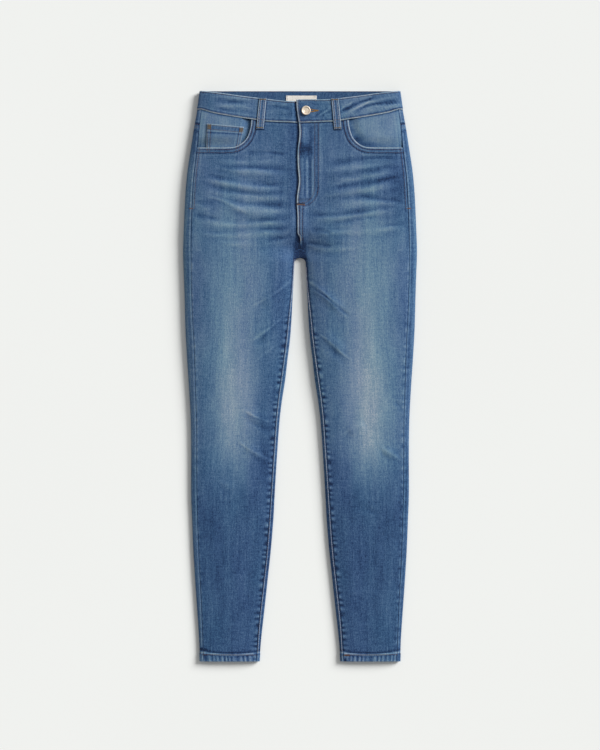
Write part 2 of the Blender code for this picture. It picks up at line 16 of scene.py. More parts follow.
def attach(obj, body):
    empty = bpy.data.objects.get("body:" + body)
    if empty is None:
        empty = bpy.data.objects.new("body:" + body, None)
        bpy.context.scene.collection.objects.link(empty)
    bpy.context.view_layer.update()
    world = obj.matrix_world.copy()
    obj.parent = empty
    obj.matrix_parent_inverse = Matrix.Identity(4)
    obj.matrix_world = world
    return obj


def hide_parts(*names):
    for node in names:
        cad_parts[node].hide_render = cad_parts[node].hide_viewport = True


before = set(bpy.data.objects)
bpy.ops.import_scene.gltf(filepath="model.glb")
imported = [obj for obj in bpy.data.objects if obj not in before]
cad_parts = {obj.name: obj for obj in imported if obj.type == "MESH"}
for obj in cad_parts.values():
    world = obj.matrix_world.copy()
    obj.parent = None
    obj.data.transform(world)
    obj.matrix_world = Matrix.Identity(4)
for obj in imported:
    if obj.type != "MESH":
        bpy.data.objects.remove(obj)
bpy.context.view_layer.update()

MM = 0.001
SIDES = ((-1, "right"), (1, "left"))
LENGTH = 1027                   # waistband top to hem
TOP = LENGTH / 2                # y of the waistband top

# Cloth
CLOTH = 1.4                     # wall of a denim panel
BAND_CLOTH = 2.6                # waistband, several layers
BAND_PROUD = 0.8                # how far the waistband stands over the panels
POCKET_CLOTH = 1.2
COIN_CLOTH = 1.1
INNER_WASH = 0.30               # of the waistband's inside
SEAM_HALF = 0.15                # half of the gap between two pieces at a seam
ON_TOP = 0.3                    # gap under a piece that lies on another
AWAY = 99                       # a distance at which a seam's form has died out

# Hems
HEM_TOP = LENGTH - 14
HEM_OUT = 0.5                   # the turned hem's extra cloth, outside and inside
HEM_IN = 0.9
HEM_STEP = 0.6                  # length of the step where the hem begins
HEM_MIDDLE = (124, 50)          # x of a leg's middle at its hem, and half its width
HEM_BOW = 4                     # how much higher the hem's upper edge lies at both sides
HEM_ROPE = 8.2                  # pitch of the hem's puckers
HEM_ROW = 4.6                   # from the hem's upper edge to its stitching
HEM_KNOTS = ((177.4, 1005), (170.2, 1006))      # x and down of the right hem's lumps at its side seam

# Fullness of the flat garment
ROUNDING = 2.6                  # how square the rounded sides are
WIDEST = ((556, 5), (756, 4))   # down, height of the widest point over the underside
FOLD = 6                        # width of the lower half of a side fold
SHOULDER_SHARE = 0.46           # part of a leg's width over which its side rounds up
LOOP_BED = 2.5                  # underside height over the back belt loops and waistband
LOOP_BED_END = (48, 74)         # down, where it falls to the next height
POCKET_BED = 1.7                # underside height over the back pockets
POCKET_BED_END = (252, 286)

# The fork between the legs
FORK_BASE = 309.6               # where the arch meets the legs' inner edges
FORK_HALF = 10                  # arch half width
FORK_RISE = 9                   # arch height
FORK_REACH = 58                 # how far the dip between the thighs runs up the front
FORK_FLOOR = 0.15               # height of the dip's floor, as a share of the fullness
FORK_FLOOR_END = 0.16           # share of the way up the dip where its floor ends
FORK_JOIN = 392                 # down, past which a leg's rows are level on the inner seam too
FORK_END = 412                  # down of the last of the level rows that the bent ones lead to
FORK_SHADE = (287, 11, 19)      # down of the painted shade in the middle of the fork, its half width and half length

# Front closing
LAP = 4.5                       # how far each front reaches past the centre line
LAP_LIFT = 0.95                 # the over front rises and the under front sinks by this much
LAP_FADE = (5.5, 15.5)          # x over which that lift and drop fade out
LAP_END = (255, 267)            # down, where the lap narrows to a plain seam
LAP_LEVEL = 282                 # down, where both fronts are level again
BAND_UNDERLAP = 18              # how far the waistband's right end runs under its left
BAND_OVER_LIFT = 0.6            # the over end rises by this much
BAND_OVER_FADE = (20, 30)       # x over which that lift fades out
BAND_UNDER_DROP = 2.4           # the under end sinks by this much
BAND_UNDER_FADE = (5.5, 14)     # x over which that drop fades out
BAND_END = 176                  # x where the front waistband turns to the side
FLY_OUT = (32.8, 5)             # x of the fly's outer row of stitching, straight and at its lower end
FLY_TWIN = 6.2                  # between the fly's two rows
FLY_DOWN = (60, 174)            # down of that row's upper end, and where it begins to curve
FLY_DEEP = 34                   # how far below that it ends

# Seams, pockets, loops and trimmings
BACK_BAND_SEAM = (34, 38)       # down of the back waistband's seam at the side and at the centre
YOKE_SEAM = (58, 100)           # down of the yoke's lower seam at the side and at the centre
SCOOP_END = 102.4               # down where the scoop pocket's edge meets the side seam
SCOOP_CENTRE = 120              # down at the centre front of the row that ends there
FACING_CLEAR = 1.2              # room under the front panel's wall for what runs below it
FACING_RISE = (3, 21)           # the facing comes up to the skin this far from the scoop
COIN_CORNERS = ((101, 65.5), (167, 59.4), (169, 111), (110, 111))
COIN_GAP = 0.8                  # between the coin pocket and the facing below it
COIN_HEM = 11.6                 # depth of the coin pocket's hem
BACK_HALF = 190                 # x out to which the yoke's lower seam slants
BACK_POCKET = ((34, 122), (152, 112), (150, 215), (97, 246), (40, 224))
TIP_SHARE = 0.53                # where a back pocket's tip lies across it
POCKET_HALF = 50                # about half its size, to set its rows inside its edge
LOOP_WIDE = 13
LOOP_FRONT_X = {1: (63, 68), -1: (66.8, 72)}    # x of both ends' middles, by side
LOOP_ENDS = (15, 70)            # down, between which a front loop's middle slants
LOOP_BELOW = 15                 # how far a loop runs on below the waistband
LOOP_STEP = (1.5, 6)            # below the waistband, where a loop comes down to the panel
LOOP_BACK_X = 112               # x of the hidden loops' middles
BUTTON_AT = (10.8, 36.4)        # x and down of its middle
BUTTON_RADIUS = 8.4
BUTTON_HIGH = 3.6
BUTTON_STEPS = 56               # corners round the button
ZIP_X = (-1, 14)
ZIP_DOWN = (62, 192)
ZIP_DEPTH = (2.75, 4.25)        # of its upper and its lower surface
TOOTH_STEP = 1.6                # between one tooth and the next, on the other side
TOOTH_ASIDE = 0.8               # between a tooth's middle and the zip's
TOOTH_HALF = (1.6, 0.5)         # half its size across and along the zip
TOOTH_ENDS = ((-0.1, 1), (0.45, 0.8))   # height and share of its size, at its foot and at its top
LABEL_X = (-25, 30)
LABEL_DOWN = (8, 28)
LABEL_THICK = 1.0

# Sewing
INSEAM_PITCH = 11.8             # between the puckers of the inner leg seam
OUTSEAM_PITCH = 15.7
SEAM_FADES = (240, 60)          # down where the side seam's groove begins to fade, and over what length
SIDE_TACK = 212                 # down of the tack that ends the side seam's outer row
EDGE = 2.4                      # rows of stitching this far from an edge
SCOOP_ROWS = (3.8, 9.4)         # the scoop's rows from its edge
YOKE_ROWS = (2.4, 7.4)          # the yoke seam's rows below it
BACK_ROWS_HALF = 185            # x out to which the rows of yoke and back waistband slant
LOOP_ROW = 3.1                  # a belt loop's rows from its middle
LOOP_TACK = 5.6                 # half length of the tack across its end
LINE_STEP = 1.2                 # between the places where a row's height is looked up

# down, half width of the garment at its side folds
SIDE_LINE = (
    (0, 180), (34, 185), (70, 191.5), (106, 197), (142, 202.5), (178, 206),
    (214, 208), (250, 209.5), (290, 210.8), (330, 209.5), (376, 208), (430, 206.5),
    (484, 203.4), (538, 199.8), (592, 197), (650, 196.2), (730, 196.2), (772, 194.6),
    (826, 192.4), (880, 189.2), (934, 185.4), (988, 181.8), (1027, 180.6))
# down, x of a leg's inner edge
INNER_LINE = (
    (FORK_BASE, FORK_HALF), (340, 11.7), (376, 13.5), (412, 15.3), (448, 18), (484, 22.5),
    (520, 26.6), (556, 32.2), (592, 36.6), (646, 40.6), (700, 44), (736, 46),
    (772, 48), (826, 52.4), (880, 58.2), (934, 64), (988, 70), (1027, 73))
# down, x of the side seam, which shows on the front
OUTSEAM = (
    (34, 177), (61, 180.9), (101, 184.5), (153, 190.8), (212, 194.4), (290, 196.2),
    (387, 194.4), (466, 190.4), (542, 188.2), (596, 186.5), (718, 185.9), (826, 182.7),
    (930, 177.5), (997, 175), (1027, 174.2))
# down, x of the inner leg seam below the fork
INSEAM = (
    (340, 14.3), (373, 17.4), (412, 21.6), (448, 25.2), (484, 29.9), (520, 34.8),
    (556, 39.8), (596, 43.9), (655, 47.9), (713, 51.8), (790, 56.9), (841, 61.2),
    (893, 67), (938, 72), (968, 74.9), (1000, 77), (1027, 78.4))
# down, height of the garment over the table
FULLNESS = (
    (0, 16), (38, 16.5), (100, 18.6), (200, 20), (290, 20), (380, 19),
    (484, 17.2), (560, 15), (630, 13.5), (740, 12), (850, 11), (960, 10.2),
    (1027, 10))
# x, down of the front waistband's upper edge, and of its seam to the fronts
BAND_TOP = (
    (0, 19.5), (24, 18.9), (52, 16), (77, 13.1), (107, 9.4), (137, 5), (166, 1.3),
    (180, 0))
BAND_SEAM = (
    (0, 58.2), (9, 58), (64, 55.6), (85, 52.3), (107, 49.2), (137, 44.2),
    (160, 39.6), (176, 34.6), (186, 34))
# down, how far the lapped edge of the left front strays from its straight line
LAP_WAVE = (
    (16, -2.2), (26, -2.2), (35, -1.2), (50, 0.8), (57, 2), (74, 3.4), (88, 2.6), (103, 0.6),
    (120, 0), (141, 0.7), (160, 2.5), (170, 1.9), (181, 0.3), (191, -1), (203, -1.3), (225, 0))
# x, down of the waistband's upper edge where its left end lies on top
OVER_TOP = (
    (0, 16.2), (18, 16), (45, 16), (66, 14.4), (77, 13.1), (107, 9.4), (137, 5), (166, 1.3),
    (180, 0))
# x, down of the scoop pocket's edge
SCOOP = (
    (87, 52.2), (88.4, 64), (91.2, 75.5), (95, 84.5), (101.5, 92.5), (110, 98.5),
    (120.5, 102), (140, 102.8), (162, 102.6))
# x, down of the facing's hidden edge, and down of its row on the side seam
FACING = (
    (70, 52, 34.3), (72, 66, 46), (77, 82, 58), (85, 96, 72),
    (94, 108, 87), (104, 116, 102.4), (118, 122, 117))
# down on the side seam, x and down on the inner leg seam, of the rows by the fork
FORK_ROWS = (
    (297, 0, 283), (303, 6.2, 285.4), (310.5, 10.2, 291.6), (320, 12.1, 302.6),
    (333, 13.2, 319), (350, 14.3, 340), (370, 17, 369))
FORK_EDGE = (FORK_BASE, 322, 342, 369)    # down of the last four of those rows on the fork's edge
ARCH_ROWS = 3                                   # rows round the arch, a third of a quarter turn each
# Largest folds, as in the solids: side, x and down of both ends, half width, height
FOLDS = (
    (-1, 20, 156, 150, 140, 10, 1.2), (-1, 22, 190, 165, 160, 10, 1.4),
    (-1, 16, 236, 150, 204, 11, 1.4), (1, 34, 154, 160, 138, 10, 1.2),
    (1, 30, 196, 170, 152, 10, 1.4), (1, 18, 240, 158, 196, 11, 1.4),
    (-1, 18, 342, 72, 388, 9, 1.6), (-1, 34, 409, 74, 450, 9, 1.3),
    (1, 22, 348, 78, 398, 9, 2), (1, 38, 434, 84, 476, 9, 1.5),
    (-1, 96, 580, 56, 596, 9, 1.2), (-1, 100, 637, 66, 660, 9, 1.1),
    (1, 120, 600, 84, 616, 9, 1), (1, 150, 644, 178, 660, 9, 1.1))

# Finer creases and whiskers of the fronts: side, x and down of both ends, bow of the line between them,
# half width, height and tone. A trough is below 0 in both, and darker; a ridge is above 0, and paler.
CREASES = (
    (-1, 104, 112, 18, 115, -1, 3.4, -0.35, -0.14), (-1, 132, 136, 14, 142, 1, 4, -0.40, -0.15),
    (-1, 174, 149, 20, 169, 8, 4.8, -0.45, -0.15), (-1, 162, 171, 14, 184, 8, 5.4, -0.50, -0.16),
    (-1, 138, 196, 14, 205, 4, 5, -0.50, -0.17), (-1, 192, 198, 148, 206, 0, 4, -0.30, -0.13),
    (-1, 194, 221, 144, 232, 1, 4.4, -0.35, -0.15), (-1, 104, 233, 12, 227, 3, 5, -0.50, -0.17),
    (-1, 80, 251, 12, 243, 2, 4.2, -0.40, -0.13), (-1, 66, 270, 12, 262, 0, 4.2, -0.40, -0.13),
    (-1, 164, 128, 20, 126, 2, 4.6, 0.30, 0.12), (-1, 168, 135, 20, 149, 5, 4.2, 0.35, 0.13),
    (-1, 186, 157, 24, 174, 7, 4.6, 0.40, 0.15), (-1, 186, 178, 20, 193, 4, 5.4, 0.35, 0.12),
    (-1, 174, 188, 90, 222, -3, 3.2, 0.35, 0.16), (-1, 124, 215, 16, 216, 2, 4.6, 0.35, 0.13),
    (-1, 192, 240, 16, 236, 4, 4.8, 0.40, 0.14), (-1, 192, 257, 18, 254, 6, 4.8, 0.35, 0.13),
    (-1, 152, 275, 14, 270, 2, 5, 0.30, 0.09),
    (1, 42, 133, 188, 117, -2, 4.2, -0.45, -0.16), (1, 90, 147, 152, 142, 0, 4.8, -0.30, -0.11),
    (1, 44, 178, 188, 152, 2, 4.6, -0.55, -0.18), (1, 88, 186, 188, 198, 2, 4.5, -0.45, -0.15),
    (1, 6, 223, 140, 214, 4, 5, -0.50, -0.16), (1, 50, 240, 142, 226, 0, 4.2, -0.40, -0.13),
    (1, 16, 247, 62, 257, 1, 4, -0.40, -0.11), (1, 134, 247, 194, 238, 0, 4.2, -0.40, -0.12),
    (1, 8, 272, 64, 280, 1.5, 3.6, -0.45, -0.16), (1, 38, 147, 188, 129, -1, 4.8, 0.35, 0.14),
    (1, 48, 164, 184, 140, 4, 5, 0.35, 0.12), (1, 34, 191, 188, 167, 2, 4.6, 0.40, 0.15),
    (1, 52, 206, 188, 207, -4, 5.4, 0.30, 0.11), (1, 28, 231, 192, 207, 6, 4.6, 0.40, 0.15),
    (1, 18, 257, 190, 241, 5, 5, 0.35, 0.13), (1, 16, 283, 110, 284, 1, 4.2, 0.30, 0.13),
    (-1, 10, 339, 92, 393, 1, 2.2, 0.30, 0.17), (-1, 24, 400, 94, 456, 1.5, 2.3, 0.35, 0.19),
    (-1, 40, 453, 86, 490, 1, 2.1, 0.20, 0.11), (1, 8, 336, 74, 392, -1.5, 2.2, 0.30, 0.16),
    (1, 20, 352, 94, 410, -1.5, 2, -0.50, -0.17), (1, 30, 434, 96, 490, -1, 2.2, 0.30, 0.17),
    (-1, 108, 571, 50, 598, 1, 2.2, 0.30, 0.17), (-1, 116, 627, 54, 666, 1.5, 3.2, 0.30, 0.14),
    (1, 140, 637, 184, 665, 1, 3.6, 0.40, 0.15), (1, 112, 594, 68, 623, 1, 3.6, 0.20, 0.06),
    (1, 168, 559, 186, 572, 0, 4, -0.30, -0.10), (-1, 40, 418, 84, 462, 1.5, 6, -0.30, -0.08),
    (1, 44, 452, 84, 496, -1, 6, -0.30, -0.07), (-1, 100, 590, 50, 612, 1, 5, -0.25, -0.08),
    (-1, 150, 700, 110, 717, 1, 5, 0.28, 0.05), (1, 94, 741, 142, 761, 1, 5.5, -0.28, -0.05),
    (-1, 94, 859, 142, 873, 1, 5.5, -0.26, -0.05), (1, 90, 906, 134, 895, 1, 6, 0.26, 0.05))
# The same on the waistband's front
BAND_CREASES = (
    (1, 68, 40, 142, 10, -1.5, 3.2, -0.60, -0.36), (1, 98, 34, 182, 19, -2.5, 3.1, -0.55, -0.34),
    (1, 70, 37, 98, 18, 0, 1.8, 0.35, 0.24), (1, 84, 41, 140, 13, -0.5, 1.9, 0.40, 0.24),
    (1, 112, 40, 186, 25, -1, 3, 0.30, 0.16), (1, 120, 20, 176, 10, 0, 2.6, 0.20, 0.10),
    (1, 22, 50, 52, 30, 0, 2, -0.35, -0.15), (1, 34, 50, 60, 33, 0, 2, -0.35, -0.15),
    (1, 28, 50, 56, 31, 0, 1.6, 0.20, 0.10), (-1, 164, 19, 76, 25, -2, 3.2, -0.35, -0.13),
    (-1, 152, 34, 80, 42, -1, 2.8, -0.30, -0.12), (-1, 164, 11, 84, 18, -1, 2.4, 0.25, 0.12),
    (-1, 160, 27, 78, 33, -1.5, 2.4, 0.25, 0.12), (-1, 62, 30, 14, 36, -3, 3, -0.30, -0.12),
    (-1, 46, 44, 12, 42, 1, 2.6, -0.25, -0.10), (-1, 58, 24, 12, 27, 0, 2.4, 0.20, 0.10))
# The same on the hidden back, where the cloth presses flat on the table
BACK_CREASES = (
    (-1, 30, 262, 120, 282, 5, 4, -0.30, -0.12), (1, 28, 266, 128, 279, 6, 4, -0.30, -0.12),
    (-1, 26, 288, 100, 304, 4, 4, -0.28, -0.10), (1, 24, 292, 92, 308, 4, 4, -0.28, -0.10),
    (-1, 60, 560, 150, 548, -4, 4, -0.35, -0.14), (1, 58, 566, 146, 556, -3, 4, -0.35, -0.14),
    (-1, 70, 584, 160, 590, 4, 3.6, -0.30, -0.12), (1, 64, 588, 156, 580, 4, 3.6, -0.30, -0.12),
    (-1, 66, 612, 140, 604, -3, 3.8, -0.28, -0.12), (1, 72, 606, 150, 616, 3, 3.8, -0.28, -0.12),
    (-1, 74, 640, 132, 648, 2, 3.4, -0.24, -0.09), (1, 70, 640, 130, 634, 2, 3.4, -0.24, -0.09))

# Washed patches: side, x and down of the middle, half width, half length, how much paler
PALE = (
    (-1, 100, 215, 82, 85, 0.10), (1, 104, 195, 82, 90, 0.10),
    (-1, 112, 420, 52, 190, 0.30), (1, 118, 400, 56, 200, 0.33),
    (-1, 118, 600, 40, 105, 0.25), (1, 130, 590, 46, 105, 0.30),
    (-1, 128, 500, 15, 170, 0.10), (1, 122, 470, 15, 190, 0.09),
    (-1, 78, 175, 46, 60, 0.05), (1, 20, 300, 40, 60, 0.06),
    (-1, 185, 330, 14, 320, 0.04), (1, 168, 330, 22, 120, 0.05),
    (-1, 112, 800, 30, 130, 0.03), (1, 152, 850, 24, 190, 0.03),
    (-1, 40, 190, 26, 60, -0.05), (1, 30, 190, 30, 60, -0.03), (-1, 172, 400, 26, 220, 0.05),
    (1, 176, 160, 24, 70, -0.17), (1, 124, 655, 22, 62, 0.11), (1, 110, 195, 60, 70, -0.08),
    (1, 38, 405, 16, 60, 0.06), (-1, 70, 600, 16, 110, -0.10), (-1, 196, 400, 14, 300, 0.03))
BACK_PALE = (
    (-1, 92, 185, 70, 80, 0.20), (1, 92, 185, 70, 80, 0.20),
    (-1, 108, 400, 55, 150, 0.14), (1, 108, 400, 55, 150, 0.14),
    (-1, 112, 600, 50, 80, 0.12), (1, 112, 600, 50, 80, 0.12))
# The same on the facings in the scoop pockets: shadows and pale places
FACING_FOLDS = (
    (1, 103, 87, 12, 6.5, -0.34), (1, 120, 97, 18, 5, -0.26), (1, 93, 72, 6, 6, -0.14),
    (1, 100, 64, 8, 6, 0.08), (1, 140, 70, 20, 20, 0.04), (-1, 97, 61, 7, 5, -0.12),
    (-1, 112, 56, 14, 3, -0.08), (-1, 176, 60, 6, 18, 0.06), (-1, 140, 82, 22, 16, 0.05))
# down, wash of the plain cloth
SHADE = ((0, 0.34), (60, 0.36), (300, 0.34), (640, 0.33), (745, 0.25), (960, 0.26), (1010, 0.27),
         (1027, 0.31))
# Radius and height shares of the button's outline, from its middle on top to its middle below
BUTTON_OUTLINE = (
    (0, 0.60), (0.10, 0.60), (0.20, 0.58), (0.30, 0.55), (0.36, 0.60), (0.40, 0.66), (0.45, 0.60),
    (0.50, 0.55), (0.60, 0.58), (0.66, 0.66), (0.72, 0.82), (0.78, 0.95), (0.84, 1), (0.90, 0.96),
    (0.95, 0.84), (0.985, 0.68), (1, 0.5), (0.985, 0.3), (0.93, 0.12), (0.86, 0.02), (0.6, 0),
    (0.3, 0), (0, 0))


# Curves and the garment's skin

def ease(t):
    """Smooth step from 0 to 1."""
    t = np.clip(t, 0, 1)
    return t * t * (3 - 2 * t)


def grow(place, start, stretch):
    """0 before a start, 1 a stretch past it."""
    return ease((place - start) / stretch)


def fade(place, ends):
    """1 before the first end, 0 after the second."""
    return 1 - grow(place, ends[0], ends[1] - ends[0])


def mix(a, b, t):
    """a where t is 0, b where it is 1."""
    return a + (b - a) * t


def bump(place, middle, half):
    """Soft hill of height 1."""
    return np.exp(-((place - middle) / half) ** 2)


def hills(place, *rows):
    """Soft hills added up, each a row of its height, middle and half width."""
    return sum(high * bump(place, middle, half) for high, middle, half in rows)


def along(table, place):
    """Second column of a table at a place on its first, on a smooth curve through the rows."""
    rows = np.asarray(table, float)
    spots, values = rows[:, 0], rows[:, 1]
    slopes = np.empty(len(rows))
    slopes[1:-1] = (values[2:] - values[:-2]) / (spots[2:] - spots[:-2])
    slopes[0] = (values[1] - values[0]) / (spots[1] - spots[0])
    slopes[-1] = (values[-1] - values[-2]) / (spots[-1] - spots[-2])
    place = np.clip(place, spots[0], spots[-1])
    k = np.clip(np.searchsorted(spots, place) - 1, 0, len(rows) - 2)
    span = spots[k + 1] - spots[k]
    t = (place - spots[k]) / span
    return (mix(values[k], values[k + 1], t * t * (3 - 2 * t))
            + span * t * (1 - t) * ((1 - t) * slopes[k] - t * slopes[k + 1]))


def by_index(values, place):
    """Values on a smooth curve, at a place counted in rows."""
    return along(list(enumerate(values)), place)


def shoulder(t):
    """Rise of a rounded side, from 0 with an upright start to 1 where it is level."""
    return (1 - (1 - np.clip(t, 0, 1)) ** ROUNDING) ** (1 / ROUNDING)


def hem_share(down, top=HEM_TOP):
    """0 above a hem's upper edge, 1 on the hem."""
    return grow(down, top - HEM_STEP / 2, HEM_STEP)


def hem_edge(x):
    """down of a hem's upper edge."""
    return HEM_TOP - HEM_BOW * np.clip((x - HEM_MIDDLE[0]) / HEM_MIDDLE[1], -1.1, 1.1) ** 2


def bed(down):
    """Height of the underside: it lies on the loops and pockets above, on the table below."""
    low = mix(POCKET_BED, LOOP_BED, fade(down, LOOP_BED_END)) * fade(down, POCKET_BED_END)
    return low + HEM_OUT * hem_share(down)


def widest(down):
    """Height of the side folds' widest point."""
    return bed(down) + along(WIDEST, down)


def shoulder_width(down):
    """How far a leg's side rounds up."""
    down = np.maximum(down, FORK_BASE)
    return SHOULDER_SHARE * (along(SIDE_LINE, down) - along(INNER_LINE, down))


def fork_rise(x, down, depth):
    """How far the skin has risen from the fork, 0 at its edge to 1 where the dip has ended."""
    width = shoulder_width(down)
    leg = shoulder((x - along(INNER_LINE, down) - depth) / width)
    x = np.abs(x)
    above = FORK_BASE - down
    near = np.hypot(x / (FORK_HALF + depth), above / (FORK_RISE + depth))
    far = np.maximum(np.hypot(x / (FORK_HALF + width), above / (FORK_RISE + FORK_REACH)), 1e-6)
    t = np.clip((near - 1) * far / np.maximum(near - far, 1e-6), 0, 1)
    upright = np.clip((above / (FORK_RISE + FORK_REACH) / far) ** 2, 0, 1)
    dip = (FORK_FLOOR * shoulder(t / FORK_FLOOR_END)
           + (1 - FORK_FLOOR) * grow(t, FORK_FLOOR_END, 1 - FORK_FLOOR_END))
    seat = np.where(far >= 1, 1, np.where(near <= 1, 0, mix(shoulder(t), dip, upright)))
    return np.where(down >= FORK_BASE, leg, seat)


def beside_line(x, down, x0, d0, x1, d1):
    """Share of the way along a straight line, and the distance above it."""
    length = math.hypot(x1 - x0, d1 - d0)
    t = ((x - x0) * (x1 - x0) + (down - d0) * (d1 - d0)) / length ** 2
    return t, ((down - d0) * (x1 - x0) - (x - x0) * (d1 - d0)) / length


def fold_height(side, x, down):
    """Sum of the soft ridges at a place."""
    total = np.zeros(np.broadcast(x, down).shape)
    for fold_side, x0, d0, x1, d1, half, high in FOLDS:
        if fold_side == side:
            t, off = beside_line(x, down, x0, d0, x1, d1)
            total = total + high * bump(off, 0, half) * ease(t / 0.3) * ease((1 - t) / 0.3)
    return total


def height(side, x, down, depth=0.0):
    """Height of the front skin, or of a surface that lies a depth under it."""
    low = widest(down)
    round_side = shoulder((along(SIDE_LINE, down) - depth - x) / shoulder_width(down))
    crown = along(FULLNESS, down) - depth - low
    return low + (crown + fold_height(side, x, down)) * round_side * fork_rise(x, down, depth)


def lap_depth(side, x, down):
    """Extra depth by the centre front, where the left front lies over the right."""
    return -side * LAP_LIFT * fade(x, LAP_FADE) * fade(down, (LAP_END[1], LAP_LEVEL))


def lap_edge(down):
    """Where the left front's edge lies over the right, with its slight waves."""
    return along(LAP_WAVE, down) - LAP


def front_edge(down, side=1):
    """x of a front panel's edge at the centre front."""
    wave = along(LAP_WAVE, down) * (side > 0)
    return SEAM_HALF - (LAP + SEAM_HALF - wave) * fade(down, LAP_END)


def band_top(side, x):
    """down of the front waistband's upper edge."""
    return along(OVER_TOP if side > 0 else BAND_TOP, np.abs(x))


def band_seam(x):
    """down of the front waistband's seam."""
    return along(BAND_SEAM, np.abs(x))


def outseam(down, aside=0.0):
    """x of the side seam, or of a line beside it."""
    return along(OUTSEAM, down) + aside


def loop_middle(side, down):
    """x of a front belt loop's middle."""
    top, low = LOOP_ENDS
    return mix(*LOOP_FRONT_X[side], np.clip((down - top) / (low - top), 0, 1))


def loop_end(side):
    """down of a front belt loop's lower end."""
    return float(band_seam(LOOP_FRONT_X[side][1])) + LOOP_BELOW


def loop_shade(side, x, down):
    """Painted shadow of a front belt loop, on the cloth beside and below it."""
    beside = np.abs(x - loop_middle(side, down)) - LOOP_WIDE / 2
    low = loop_end(side)
    return (0.30 * bump(beside, 0.6, 1.5) * fade(down, (low, low + 1.5))
            + 0.30 * bump(down - low, 0.8, 1.5) * fade(beside, (0, 1.5)))


# Creases, seams and washes

def crease_field(table, side, x, down):
    """Height and paleness that a table of creases adds at each place."""
    rise = np.zeros(np.broadcast(x, down).shape)
    tone = np.zeros(rise.shape)
    for number, (crease_side, x0, d0, x1, d1, bow, half, high, pale) in enumerate(table):
        if crease_side != side:
            continue
        t, off = beside_line(x, down, x0, d0, x1, d1)
        inside = np.clip(t, 0, 1)
        off = off if x1 > x0 else -off
        off = off - bow * 4 * inside * (1 - inside) - 0.7 * np.sin(9 * t + number)
        q = off / (half * (1 + 0.3 * np.sin(7 * t + 2 * number)))
        ends = ease(t / 0.24) * ease((1 - t) / 0.24) * (1 + 0.25 * np.sin(11 * t + 3 * number))
        form = ends * hills(q, (1, 0, 1), (-0.5, 1.9, 1.2), (-0.3, -1.9, 1.2))
        rise += high * form
        tone += pale * form
    return rise, tone


def patch_wash(table, side, x, down):
    """Paleness that a table of patches adds at each place: washed patches, or painted shadows where a table
    holds them.
    """
    total = np.zeros(np.broadcast(x, down).shape)
    for patch_side, cx, cd, half_x, half_d, pale in table:
        if patch_side == side:
            total += pale * np.exp(-np.abs((x - cx) / half_x) ** 2.4 - np.abs((down - cd) / half_d) ** 2.6)
    return total


def blot(x, down, cx, cd, half_x, half_d):
    """Small patch of strength 1 with a firm edge."""
    return np.exp(-((x - cx) / half_x) ** 4 - ((down - cd) / half_d) ** 4)


def uneven(place, pitch, seed):
    """Waves of an uneven pitch along a seam, from -1 to 1."""
    phase = 2 * math.pi * place / pitch
    drift = 1.7 * np.sin(phase * 0.137 + seed) + 1.1 * np.sin(phase * 0.301 + 2.3 * seed)
    strength = 0.72 + 0.28 * np.sin(phase * 0.223 + 1.3 * seed)
    return strength * np.sin(phase + drift)


def seam_form(distance, place, seed, amount, pitch, reach, groove=0.26):
    """Groove at a seam, the ridge beside it, and the puckers that its sewing pulls in."""
    pull = uneven(place, pitch, seed) * amount
    notch = np.where(pull < 0, 1.3, 1) * pull
    window = ease(distance / 1.6) * bump(distance, 0, reach)
    rise = 0.25 * bump(distance, 2, 1.4) + 1.2 * pull * window
    return rise, -groove * bump(distance, 0, 1.1) + 0.85 * notch * window


def side_pull(side, down):
    """How strongly the side seam puckers: evenly and little on the right, more below on the left."""
    return 0.2 + 0.8 * grow(down, 360, 60) if side > 0 else 0.35


def hem_form(side, x, down, seed):
    """Ridges of a hem below its stitching, its pressed edge, and the knots of its side seam."""
    top = hem_edge(x)
    rope = uneven(x + 0.10 * (down - top), HEM_ROPE, seed) * grow(down, top + HEM_ROW - 1.2, 2.4)
    above = bump(down, top - 1.8, 1.7)
    tone = (0.30 * rope + 0.12 * hem_share(down, top) - 0.28 * above + 0.14 * bump(down, LENGTH - 0.4, 1.2)
            + 0.38 * bump(down, top + 1.6, 1.2) - 0.22 * bump(down, top + HEM_ROW + 0.6, 1.2))
    for knot in HEM_KNOTS if side < 0 else ():
        tone = tone - 0.60 * blot(x, down, *knot, 2.7, 3.3)
    return 0.24 * rope - 0.12 * above, tone


def roll(distance, radius):
    """How far an edge's rounding pulls a surface in, at a distance from the edge."""
    reach = radius - np.clip(distance, 0, radius)
    return radius - np.sqrt(np.maximum(radius ** 2 - reach ** 2, 0))


# Grids of points

def spread(length, count, fine=(0.0, 0.2, 0.5, 0.95, 1.6)):
    """Shares along a line: close together by both ends, even between them."""
    near = np.asarray(fine)[None, :] / np.atleast_1d(np.asarray(length, float))[:, None]
    middle = np.linspace(0, 1, count + 2)[None, 1:-1]
    middle = near[:, -1:] + (1 - 2 * near[:, -1:]) * middle
    return np.concatenate([near, middle, 1 - near[:, ::-1]], axis=1)


def places(start, end, step, fine_start=False, fine_end=False):
    """Places from a start to an end, a step apart, closer together at a rolled edge."""
    line = np.linspace(start, end, max(2, int(round((end - start) / step)) + 1))
    close = np.array([0, 0.2, 0.5, 0.95])
    if fine_start:
        line = np.concatenate([start + close, line[1:]])
    if fine_end:
        line = np.concatenate([line[:-1], end - close[::-1]])
    return line


def run(x, down, z=None, axis=0):
    """Length travelled along a grid's rows or columns."""
    steps = sum(np.diff(values, axis=axis) ** 2 for values in (x, down, z) if values is not None)
    first = np.zeros_like(np.take(x, [0], axis=axis))
    return np.concatenate([first, np.cumsum(np.sqrt(steps), axis=axis)], axis=axis)


